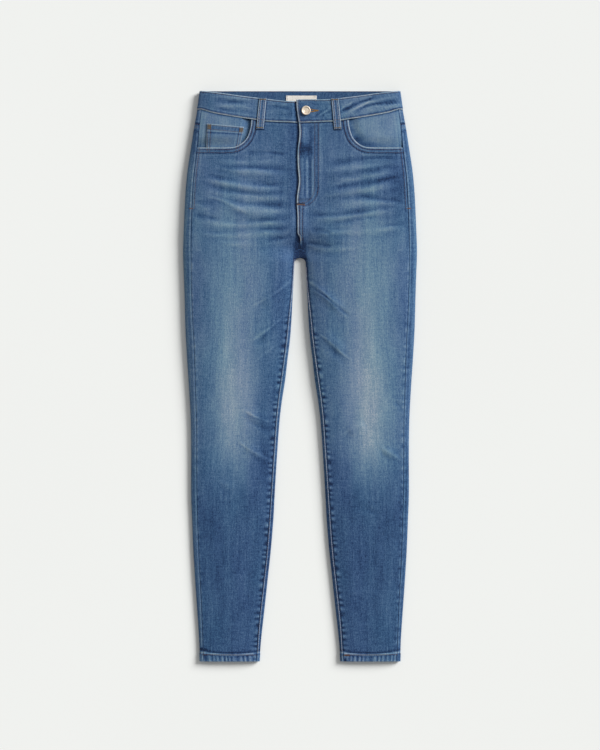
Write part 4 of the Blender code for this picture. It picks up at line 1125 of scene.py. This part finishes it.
class Wire:
    """A socket of a node tree; arithmetic on sockets adds their Math nodes."""

    def __init__(self, tree, socket=None):
        self.tree, self.socket = tree, socket

    def node(self, kind, settings=None, values=None, output=0):
        """Any node: its type, its settings, then the values or wires of its inputs."""
        node = self.tree.nodes.new(kind)
        for name, value in (settings or {}).items():
            if name == "stops":
                ramp = node.color_ramp
                while len(ramp.elements) < len(value):
                    ramp.elements.new(0.5)
                for element, (place, colour) in zip(ramp.elements, value):
                    element.position, element.color = place, colour
            else:
                setattr(node, name, value)
        for name, value in (values or {}).items():
            if isinstance(value, Wire):
                value.into(node.inputs[name])
            else:
                node.inputs[name].default_value = value
        return Wire(self.tree, node.outputs[output])

    def into(self, socket):
        """Join this wire to an input."""
        self.tree.links.new(self.socket, socket)

    def math(self, operation, *values):
        """A Math node on this wire and other values."""
        return self.node("ShaderNodeMath", {"operation": operation}, dict(enumerate((self,) + values)))

    def __add__(self, other):
        return self.math("ADD", other)

    def __sub__(self, other):
        return self.math("SUBTRACT", other)

    def __mul__(self, other):
        return self.math("MULTIPLY", other)

    def __rsub__(self, other):
        return self * -1 + other

    __radd__, __rmul__ = __add__, __mul__

    def mixed(self, first, second, blend="MIX"):
        """Two colours mixed by this wire, or wholly where it has no socket."""
        names = {0: self if self.socket else 1, 6: first, 7: second}
        return self.node("ShaderNodeMix", {"data_type": "RGBA", "blend_type": blend}, names, output=2)

    def spot(self):
        """Places on the object."""
        return self.node("ShaderNodeTexCoord", output=3)

    def noise(self, scale, detail):
        """Noise at this place, from 0 to 1."""
        return self.node("ShaderNodeTexNoise", {}, {"Vector": self, "Scale": scale, "Detail": detail})

    def streaks(self, across, lengthwise, detail=2):
        """Noise drawn out along the cloth, so many streaks a metre, from 0 to 1."""
        drawn = self.node("ShaderNodeVectorMath", {"operation": "MULTIPLY"},
                          {0: self, 1: (across, lengthwise, 1)})
        return self.node("ShaderNodeTexNoise", {"noise_dimensions": "2D"},
                         {"Vector": drawn, "Scale": 1, "Detail": detail, "Roughness": 0.6})

    def ribs(self, pitch):
        """Waves of a pitch in metres, from -1 to 1."""
        return (self * (2 * math.pi / pitch)).math("SINE")

    def split(self):
        """x and y of this place."""
        outputs = self.node("ShaderNodeSeparateXYZ", {}, {"Vector": self}).socket.node.outputs
        return [Wire(self.tree, outputs[i]) for i in range(2)]

    def relief(self, strength, distance):
        """The surface's direction, bumped by this height."""
        return self.node("ShaderNodeBump", {}, {"Strength": strength, "Distance": distance, "Height": self})


def finish(name, roughness=0.85, metallic=0, sheen=0, specular=0.3):
    """A new material, the inputs of its shader, and a wire into its tree."""
    material = bpy.data.materials.new(name)
    material.use_nodes = True
    inputs = material.node_tree.nodes["Principled BSDF"].inputs
    for title, value in (("Roughness", roughness), ("Metallic", metallic), ("Sheen Weight", sheen),
                         ("Sheen Roughness", 0.45), ("Specular IOR Level", specular)):
        inputs[title].default_value = value
    return material, inputs, Wire(material.node_tree)


DENIM_STOPS = tuple((place, srgb(*colour)) for place, colour in (
    (0, (21, 40, 72)), (0.12, (35, 64, 103)), (0.25, (51, 83, 124)), (0.38, (68, 101, 139)),
    (0.50, (87, 118, 152)), (0.62, (104, 132, 160)), (0.75, (120, 147, 170)), (0.88, (139, 160, 178)),
    (1, (173, 186, 195))))
TINT_STOPS = ((0.30, srgb(230, 239, 237)), (0.5, srgb(237, 237, 237)), (0.70, srgb(240, 235, 239)))
WEAVE = 1.05e-3                 # pitch of the twill's diagonal lines, in metres
# Streaks of the denim: how many a metre across and along it, detail, and strength in the wash
STREAKS = {"slub": (330, 20, 2, 0.24), "broad": (110, 7, 2, 0.20), "yarn": (950, 110, 1, 0.30),
           "weft": (60, 420, 2, 0.20), "fleck": (1500, 700, 0, 0.44), "patchy": (22, 16, 3, 0.18),
           "speckle": (420, 260, 2, 0.38)}


def denim(name, contrast=1.0):
    """Washed twill that follows a piece's wash and its cloth map."""
    material, inputs, wire = finish(name, sheen=0.18, specular=0.15)
    wash = wire.node("ShaderNodeAttribute", {"attribute_name": "wash"}, output=2)
    place = wire.node("ShaderNodeUVMap", {"uv_map": "cloth"})
    drawn = {kind: place.streaks(*row[:3]) for kind, row in STREAKS.items()}
    level = sum(((drawn[kind] - 0.5) * (row[3] * contrast) for kind, row in STREAKS.items()), wash)
    colour, tint = (wire.node("ShaderNodeValToRGB", {"stops": stops}, {"Fac": fac})
                    for stops, fac in ((DENIM_STOPS, level), (TINT_STOPS, place.streaks(16, 5))))
    wire.mixed(colour, tint, "MULTIPLY").into(inputs["Base Color"])
    (0.93 - 0.12 * wash).into(inputs["Roughness"])
    across, lengthwise = place.split()
    twill = (across + lengthwise * 0.6).ribs(WEAVE)
    form = twill * 0.5 + drawn["slub"] * 1.6 + drawn["yarn"] * 0.9 + drawn["fleck"] * 0.7
    form.relief(0.55, 0.00022).into(inputs["Normal"])
    return material


def thread(name, colour, shade):
    """Twisted sewing thread."""
    material, inputs, wire = finish(name, roughness=0.6, sheen=0.1)
    place = wire.spot()
    ply = place.node("ShaderNodeTexWave", {"bands_direction": "DIAGONAL"},
                     {"Vector": place, "Scale": 900, "Distortion": 1.5})
    (place.noise(380, 2) * 0.7 + ply * 0.3).mixed(srgb(*shade), srgb(*colour)).into(inputs["Base Color"])
    ply.relief(0.4, 0.0001).into(inputs["Normal"])
    return material


def woven(name, colour, shade, pitch):
    """Fine plain weave of a tape or label."""
    material, inputs, wire = finish(name, roughness=0.8, sheen=0.15)
    place = wire.spot()
    across, lengthwise = place.split()
    weave = across.ribs(pitch) * lengthwise.ribs(pitch)
    (place.noise(260, 3) * 0.8 + weave * 0.15).mixed(srgb(*shade), srgb(*colour)).into(inputs["Base Color"])
    weave.relief(0.5, 0.00015).into(inputs["Normal"])
    return material


def metal(name, colour, shade, roughness, metallic):
    """Metal with a fine grain in its colour and its dullness."""
    material, inputs, wire = finish(name, roughness=roughness, metallic=metallic, specular=0.5)
    place = wire.spot()
    grain = place.noise(700, 4)
    (grain * 0.5 + place.noise(160, 2) * 0.5).mixed(srgb(*shade), srgb(*colour)).into(inputs["Base Color"])
    (roughness + (grain - 0.5) * 0.3).into(inputs["Roughness"])
    grain.relief(0.3, 0.0001).into(inputs["Normal"])
    return material


def floor_finish():
    """Pale, matt, slightly uneven paper."""
    material, inputs, wire = finish("pale_floor", roughness=0.9, specular=0.1)
    wire.spot().noise(1.5, 2).mixed(srgb(236, 237, 234), srgb(239, 240, 237)).into(inputs["Base Color"])
    return material


DENIM = denim("washed_denim")
INSIDE = denim("denim_pocket_facing", contrast=0.8)
CREAM = woven("label_cream", (244, 240, 232), (224, 217, 207), 0.7e-3)
TAPE = woven("zip_tape_navy", (36, 44, 66), (22, 28, 44), 0.9e-3)
BRASS = metal("zip_teeth", (190, 160, 110), (120, 96, 62), 0.38, 0.8)
BUTTON_METAL = metal("button_pale_metal", (240, 228, 210), (206, 186, 164), 0.46, 0.3)
THREADS = {name: thread("thread_" + name, colour, shade) for name, colour, shade in (
    ("tan", (134, 100, 86), (80, 58, 58)), ("faded", (206, 198, 200), (160, 156, 168)),
    ("olive", (128, 114, 86), (78, 68, 56)), ("amber", (158, 118, 52), (104, 72, 32)),
    ("brown", (112, 82, 72), (64, 46, 48)), ("indigo", (52, 62, 88), (30, 38, 60)))}


# The cloth pieces: name, maker, finish, slot, CAD node, width and length spread flat, in metres, and what
# it rests on. Those of the first table are made for both sides, and {} stands for the side's word.
PAIRS = (
    ("jeans_front_{}", front_panel, DENIM, "denim", "front_{}", 0.210, 0.990, "jeans_back_{}"),
    ("jeans_back_{}", back_panel, DENIM, "denim", "back_{}", 0.275, 0.985, "floor"),
    ("jeans_yoke_{}", yoke_panel, DENIM, "denim", "yoke_{}", 0.205, 0.062, "jeans_back_{}"),
    ("jeans_pocket_facing_{}", facing_panel, INSIDE, "denim_inner", "pocket_facing_{}", 0.125, 0.090,
     "jeans_yoke_{}"),
    ("jeans_back_pocket_{}", back_pocket, DENIM, "denim", "back_pocket_{}", 0.118, 0.134, "floor"),
    ("jeans_loop_front_{}", front_loop, DENIM, "denim", "belt_loop_front_{}", 0.013, 0.057,
     "jeans_waistband"),
    ("jeans_loop_back_{}", flat_loop, DENIM, "denim", "belt_loop_back_{}", 0.013, 0.053, "floor"))
SINGLE = (
    ("jeans_loop_centre_back", flat_loop, DENIM, "denim", "belt_loop_centre_back", 0.013, 0.053, "floor"),
    ("jeans_waistband", band_panel, DENIM, "denim", "waistband", 0.815, 0.039, "jeans_loop_centre_back"),
    ("jeans_coin_pocket", coin_panel, INSIDE, "denim", "coin_pocket", 0.068, 0.052,
     "jeans_pocket_facing_right"),
    ("jeans_zip_tape", zip_tape, TAPE, "zip_tape", "zip", 0.015, 0.130, "jeans_front_right"),
    ("jeans_label", label_cloth, CREAM, "label", "label", 0.055, 0.020, "jeans_waistband"))

sheets = []
for word, maker_side, table in [(word, (side,), PAIRS) for side, word in SIDES] + [("", (), SINGLE)]:
    for name, maker, material, slot, node, wide, long, rest in table:
        cloth = maker(*maker_side)
        piece = cloth.make(name.format(word), material)
        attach(piece, "root")
        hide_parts(node.format(word))
        sheets.append((piece, cloth, wide, long, rest.format(word)))


# Button

def turned(outline, radius, high, steps):
    """Points and faces of a round part, from an outline of shares of its radius and height."""
    angles = np.linspace(0, 2 * math.pi, steps, endpoint=False)
    rings = [(r * radius, z * high) for r, z in outline if r > 0]
    points = [(r * math.cos(a), r * math.sin(a), z) for r, z in rings for a in angles]
    top, last = len(points), (len(rings) - 1) * steps
    points += [(0, 0, outline[0][1] * high), (0, 0, outline[-1][1] * high)]
    faces = []
    for i in range(steps):
        j = (i + 1) % steps
        faces += [(k + i, k + steps + i, k + steps + j, k + j) for k in range(0, last, steps)]
        faces += [(i, j, top), (last + j, last + i, top + 1)]
    return np.array(points), faces


def make_button():
    """The button, tilted to the waistband that it sits on."""
    x, down = BUTTON_AT
    lift = BAND_PROUD + BAND_OVER_LIFT + ON_TOP
    above, below = (float(height(1, x, down + aside, -lift)) for aside in (-BUTTON_RADIUS, BUTTON_RADIUS))
    tilt = math.atan2(above - below, 2 * BUTTON_RADIUS)
    across, up = math.cos(tilt), math.sin(tilt)
    points, faces = turned(BUTTON_OUTLINE, BUTTON_RADIUS, BUTTON_HIGH, BUTTON_STEPS)
    points = points @ np.array([(1, 0, 0), (0, across, up), (0, -up, across)])
    points += (x, TOP - down, (above + below) / 2)
    return make_piece("jeans_button", points, faces, BUTTON_METAL, sharp=50)


button = make_button()
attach(button, "root")
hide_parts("button")


# Sewing

def surface_tree(things):
    """All the faces of several pieces, to find places on."""
    points, faces = [], []
    for mesh in (thing.data for thing in things):
        faces += [[len(points) + i for i in polygon.vertices] for polygon in mesh.polygons]
        points += [vertex.co.copy() for vertex in mesh.vertices]
    return BVHTree.FromPolygons(points, faces)


outside = surface_tree(piece for piece, *_ in sheets if piece.name != "jeans_zip_tape")
ABOVE, BELOW = 0.2, -0.1        # z from which the cloth is looked for, in metres
sewn = {"tan": [], "faded": [], "brown": [], "indigo": []}
tacks = {"tan": [], "olive": [], "amber": [], "brown": [], "indigo": []}


def laid(x, down, under):
    """Points and outward directions of a sewn line on the cloth, from signed x and down."""
    length = run(x, down)
    spots = np.linspace(0, length[-1], max(2, int(length[-1] / LINE_STEP)))
    found = []
    for px, pd in zip(np.interp(spots, length, x), np.interp(spots, length, down)):
        start = Vector((px * MM, (TOP - pd) * MM, BELOW if under else ABOVE))
        hit, normal, _, _ = outside.ray_cast(start, Vector((0, 0, 1 if under else -1)))
        if hit is not None:
            found.append((hit, -normal if (normal.z > 0) == under else normal))
    return found


def row(colour, side, x, down, under=False, store=sewn):
    """Lay a row of stitching; x and down are lists of the same length, or one number for all."""
    x, down = np.broadcast_arrays(np.asarray(x, float) * side, np.asarray(down, float))
    store[colour].append(laid(x, down, under))


def tack(colour, side, x, down, under=False):
    """Lay a bar tack along a line."""
    row(colour, side, x, down, under, tacks)


def offset_line(line, aside):
    """x and down of a line moved aside, to its right as it runs."""
    way = np.gradient(line, axis=0)
    way /= np.linalg.norm(way, axis=1)[:, None]
    return (line + np.stack([-way[:, 1], way[:, 0]], 1) * aside).T


def sew_front(side):
    """Rows and tacks of one side of the front, and the rows that run on round the fold."""
    first = -LAP + EDGE if side > 0 else LAP + 1.5
    x = places(first, BAND_END, 2)
    row("tan", side, x, band_top(side, x) + EDGE)
    row("tan", side, places(3, 148, 2), 1.1)
    x = places(first, BAND_END + 8, 2)
    row("tan", side, x, band_seam(x) - EDGE)
    for aside in SCOOP_ROWS:
        x, down = offset_line(SCOOP_LINE, aside)
        keep = (down > band_seam(x) + 1) & (x < outseam(down) - 0.8)
        row("brown", side, x[keep], down[keep])
    down = places(SCOOP_END + 2, SIDE_TACK, 3)
    row("tan", side, outseam(down, -4.4), down)
    fold = float(along(SIDE_LINE, YOKE_SEAM[0]))
    for extra in YOKE_ROWS:
        row("tan", side, places(outseam(YOKE_SEAM[0], 0.6), fold - 0.8, 1), YOKE_SEAM[0] + extra)
        x = places(fold - FOLD, 0.6, 3)
        row("tan", side, x, np.interp(x, (0, BACK_ROWS_HALF), YOKE_SEAM[::-1]) + extra, under=True)
    fold, inner_fold = float(along(SIDE_LINE, LENGTH)), float(along(INNER_LINE, LENGTH))
    out, inner = float(outseam(LENGTH)), float(along(INSEAM, LENGTH))
    for start, end, step, extra, under in (
            (out - 1, inner + 1.2, 2, 0, False), (out - 1, inner + 1.2, 2, 1.1, False),
            (out + 1, fold - 1.2, 1, 0, False), (fold - FOLD, inner_fold + FOLD, 2, 0, True)):
        x = places(start, end, step)
        row("brown", side, x, hem_edge(x) + HEM_ROW + extra, under)
    x, down = seam_line(LEG_PLACES[LEG_PLACES < HEM_TOP - 1], 1.7)
    shown = down > (304 if side < 0 else 318)
    row("faded", side, x[shown], down[shown])
    loop_x, low = np.array(LOOP_FRONT_X[side]), loop_end(side)
    top = float(band_top(side, loop_x[0]))
    for aside in (-LOOP_ROW, LOOP_ROW):
        row("faded", side, loop_x + aside, (top + 1.2, low - 2))
    for middle, down in zip(loop_x, (top + 2, low - 2.6)):
        tack("olive", side, (middle - LOOP_TACK, middle + LOOP_TACK), down)
    tack("tan", side, (192.6, 199), SIDE_TACK)


def sew_back(side):
    """Rows and tacks of one side of the hidden back: patch pocket, waistband and loops."""
    corners = np.array(BACK_POCKET)
    middle = corners.mean(0)
    for inset in (EDGE, EDGE + 5.6):
        line = middle + (corners - middle) * (1 - inset / POCKET_HALF)
        row("tan", side, *line[[1, 2, 3, 4, 0]].T, under=True)
    (ax, ad), (bx, bd) = BACK_POCKET[:2]
    row("tan", side, (ax + 2.4, bx - 2.4), (ad + 20, bd + 20), under=True)
    for x, down in ((ax + 4.5, ad), (bx - 4.5, bd)):
        tack("tan", side, x, (down + 1.5, down + 9), under=True)
    x = places(6, BAND_END, 3)
    row("tan", side, x, EDGE, under=True)
    row("tan", side, x, np.interp(x, (0, BACK_ROWS_HALF), BACK_BAND_SEAM[::-1]) - EDGE, under=True)
    low = BACK_BAND_SEAM[1] + LOOP_BELOW
    for middle in (side * LOOP_BACK_X, 0)[:2 if side > 0 else 1]:
        for aside in (-LOOP_ROW, LOOP_ROW):
            row("faded", 1, middle + aside, (5, low - 4), under=True)
        for down in (3, low - 2.6):
            tack("tan", 1, (middle - LOOP_TACK, middle + LOOP_TACK), down, under=True)


for side, _ in SIDES:
    sew_front(side)
    sew_back(side)
for aside in (1.6, 3):                                  # a tack on the left hem
    tack("brown", 1, (80.5, 89), HEM_TOP + aside)
for x, start in ((1.8, 102), (6.6, 104)):               # centre back seam
    row("tan", 1, x, (start, 280), under=True)
# Front closing, on the left front
for start, end, aside in ((19, 54.5, 3.4), (60, 204, 3.6)):
    down = places(start, end, 3)
    row("tan", 1, lap_edge(down) + aside, down)
for inside in (0, FLY_TWIN):
    row("tan", 1, *fly_line(inside).T)
row("tan", 1, (-0.7, -0.7, 0.6), (211, 250, 268))
row("tan", 1, (5, 4.8), (212, 268))
for down in (195.6, 197.4):
    row("indigo", 1, (-3, 17), (down, down - 1))
tack("tan", 1, (-5, 8.6), (205.4, 206))
tack("indigo", 1, (-5, 8.6), (203.2, 203.8))
# Coin pocket, on the right
(ax, ad), (bx, bd), (cx, cd), (dx, dd) = COIN_CORNERS
for depth in (2.6, COIN_HEM - 1.6):
    row("tan", -1, (ax + 2, bx - 2), (ad + depth, bd + depth))
for aside in (2.4, 6.8):
    row("tan", -1, (ax + aside, dx + aside - 1.6), (ad + 2, dd - 2))
    row("tan", -1, (bx - aside, cx - aside), (bd + 2, cd - 2))
for aside in (1.8, 4.2, 6.6):
    tack("olive", -1, ax + aside, (ad + 2.2, ad + 9.4))
    tack("olive", -1, bx - aside, (bd + 2.2, bd + 9.4))
# Keyhole buttonhole, beside the button
HOLE = ((15, 34.4), (20, 34.4), (26, 35.2), (33, 36.3), (26, 37.6), (20, 38.4), (15, 38.4))
for start, end in zip(HOLE, HOLE[1:]):
    tack("amber", 1, *zip(start, end))
# Label: a row at each end
for x in (LABEL_X[0] + 2.6, LABEL_X[1] - 2.6):
    row("faded", 1, x, (LABEL_DOWN[0] + 1, 18))


def stitch_tree():
    """Stitches laid along lines: each a small rounded capsule, turned to the line and to the cloth."""
    tree = bpy.data.node_groups.new("stitches", "GeometryNodeTree")
    tree.is_modifier = True
    for name, way, kind in (
            ("Geometry", "INPUT", "Geometry"), ("Pitch", "INPUT", "Float"), ("Length", "INPUT", "Float"),
            ("Width", "INPUT", "Float"), ("Height", "INPUT", "Float"), ("Crosswise", "INPUT", "Bool"),
            ("Seed", "INPUT", "Int"), ("Thread", "INPUT", "Material"), ("Geometry", "OUTPUT", "Geometry")):
        tree.interface.new_socket(name, in_out=way, socket_type="NodeSocket" + kind)
    wire = Wire(tree)
    entry = tree.nodes.new("NodeGroupInput")
    sizes = {socket.name: Wire(tree, socket) for socket in entry.outputs if socket.name}
    curve = wire.node("GeometryNodeMeshToCurve", {}, {"Mesh": sizes["Geometry"]})
    points = wire.node("GeometryNodeResampleCurve", {"mode": "LENGTH"},
                       {"Curve": curve, "Length": sizes["Pitch"]})
    up = wire.node("GeometryNodeInputNamedAttribute", {"data_type": "FLOAT_VECTOR"}, {"Name": "up"})
    way = wire.node("GeometryNodeInputTangent")
    across = wire.node("ShaderNodeVectorMath", {"operation": "CROSS_PRODUCT"}, {0: up, 1: way})
    lie = wire.node("GeometryNodeSwitch", {"input_type": "VECTOR"},
                    {"Switch": sizes["Crosswise"], "False": way, "True": across})
    turn = wire.node("FunctionNodeAlignRotationToVector", {"axis": "X"}, {"Vector": lie})
    turn = wire.node("FunctionNodeAlignRotationToVector", {"axis": "Z", "pivot_axis": "X"},
                     {"Rotation": turn, "Vector": up})
    capsule = wire.node("GeometryNodeMeshUVSphere", {}, {"Segments": 6, "Rings": 5, "Radius": 0.5})
    size = wire.node("ShaderNodeCombineXYZ", {},
                     {"X": sizes["Width"], "Y": sizes["Height"], "Z": sizes["Length"]})
    capsule = wire.node("GeometryNodeTransform", {}, {"Geometry": capsule, "Scale": size})
    capsule = wire.node("GeometryNodeTransform", {}, {"Geometry": capsule, "Rotation": (0, math.pi / 2, 0)})
    capsule = wire.node("GeometryNodeSetShadeSmooth", {}, {"Geometry": capsule})
    jitter = wire.node("FunctionNodeRandomValue", {"data_type": "FLOAT_VECTOR"},
                       {"Min": (0.88, 0.8, 0.8), "Max": (1.06, 1.15, 1.15), "Seed": sizes["Seed"]})
    placed = wire.node("GeometryNodeInstanceOnPoints", {},
                       {"Points": points, "Instance": capsule, "Rotation": turn, "Scale": jitter})
    whole = wire.node("GeometryNodeRealizeInstances", {}, {"Geometry": placed})
    whole = wire.node("GeometryNodeSetMaterial", {}, {"Geometry": whole, "Material": sizes["Thread"]})
    whole.into(tree.nodes.new("NodeGroupOutput").inputs["Geometry"])
    return tree


STITCHES = stitch_tree()
PROUD = 0.12 * MM               # a stitch's middle stands this far out of the cloth
PRESSED = -0.2 * MM             # the table presses the hidden stitches flat at this height
BREAK = 4 * MM                  # points further apart than this aren't joined by thread


def stitch(name, lines, material, **sizes):
    """Plain mesh of all the stitches along some lines."""
    points, edges, ups = [], [], []
    for line in lines:
        for k, (place, up) in enumerate(line):
            if k and (place - points[-1]).length < BREAK:
                edges.append((len(points) - 1, len(points)))
            points.append(place + up * PROUD)
            ups.extend(up)
    mesh = bpy.data.meshes.new(name + "_lines")
    mesh.from_pydata([tuple(p) for p in points], edges, [])
    mesh.attributes.new("up", "FLOAT_VECTOR", "POINT").data.foreach_set("vector", ups)
    guide = show(name + "_lines", mesh)
    modifier = guide.modifiers.new("stitches", "NODES")
    modifier.node_group = STITCHES
    names = {item.name: item.identifier for item in STITCHES.interface.items_tree if item.in_out == "INPUT"}
    for size, value in {**sizes, "Thread": material}.items():
        modifier[names[size]] = value
    guide.update_tag()
    made = bpy.data.meshes.new_from_object(guide.evaluated_get(bpy.context.evaluated_depsgraph_get()))
    made.name = name
    flat = np.empty(3 * len(made.vertices), np.float32)
    made.vertices.foreach_get("co", flat)
    flat[2::3] = np.maximum(flat[2::3], PRESSED)
    made.vertices.foreach_set("co", flat)
    made.update()
    bpy.data.objects.remove(guide)
    piece = show(name, made)
    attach(piece, "root")


for seed, (colour, lines) in enumerate(sewn.items()):
    stitch("stitching_" + colour, lines, THREADS[colour], Pitch=3.2 * MM, Length=2.9 * MM, Width=1.15 * MM,
           Height=0.55 * MM, Crosswise=False, Seed=seed)
for seed, (colour, lines) in enumerate(tacks.items(), 20):
    stitch("tacks_" + colour, lines, THREADS[colour], Pitch=0.55 * MM, Length=2.4 * MM, Width=0.6 * MM,
           Height=0.6 * MM, Crosswise=True, Seed=seed)


# Zip teeth, under the fly

def zip_teeth():
    """Points and faces of small blocks, on both sides of the zip's middle in turn."""
    block = ((3, 2, 1, 0), (4, 5, 6, 7), (0, 1, 5, 4), (1, 2, 6, 5), (2, 3, 7, 6), (3, 0, 4, 7))
    points, faces = [], []
    for k, down in enumerate(places(ZIP_DOWN[0] + 4, ZIP_DOWN[1] - 4, TOOTH_STEP)):
        x = sum(ZIP_X) / 2 + (TOOTH_ASIDE if k % 2 else -TOOTH_ASIDE)
        z = float(height(1, x, down, ZIP_DEPTH[0]))
        faces += [[len(points) + i for i in face] for face in block]
        points += [(x + TOOTH_HALF[0] * wide * across, TOP - down + TOOTH_HALF[1] * wide * lengthwise, z + dz)
                   for dz, wide in TOOTH_ENDS
                   for across, lengthwise in ((-1, -1), (1, -1), (1, 1), (-1, 1))]
    return points, faces


teeth = make_piece("zip_teeth", *zip_teeth(), BRASS)
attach(teeth, "root")

# Floor
FLOOR_HALF, FLOOR_Z = 4000, -0.3
floor_corners = [(x * FLOOR_HALF, y * FLOOR_HALF, FLOOR_Z) for x, y in ((-1, -1), (1, -1), (1, 1), (-1, 1))]
floor = make_piece("floor", floor_corners, [(0, 1, 2, 3)], floor_finish())

for piece, cloth, wide, long, rest in sheets:
    area = round(min(cloth.area(), wide * long), 6)

# Camera and light, in metres
CAMERA_HIGH = 4.0
FIELD = 1.35                    # height of what the photograph shows
MIDDLE_Y = 0.0023               # of the photograph's middle
MIDDLE_Z = 0.008                # height at which that field is measured
camera_data = bpy.data.cameras.new("camera")
camera_data.sensor_width = 36
camera_data.lens = camera_data.sensor_width * (CAMERA_HIGH - MIDDLE_Z) / FIELD
camera = show("camera", camera_data)
camera.location = (0, MIDDLE_Y, CAMERA_HIGH)
bpy.context.scene.camera = camera

KEY_FROM = (4.6, 3.1, 2.9)      # towards the soft key light, at the photograph's upper right
key_data = bpy.data.lights.new("key", "SUN")
key_data.energy = 4.55
key_data.angle = 0.5
key = show("key", key_data)
key.rotation_euler = Vector(KEY_FROM).to_track_quat("Z", "Y").to_euler()
world = bpy.data.worlds.new("studio")
world.use_nodes = True
world.node_tree.nodes["Background"].inputs["Color"].default_value = (0.98, 0.99, 1.0, 1.0)
world.node_tree.nodes["Background"].inputs["Strength"].default_value = 0.36
bpy.context.scene.world = world
bpy.context.scene.view_settings.view_transform = "Standard"
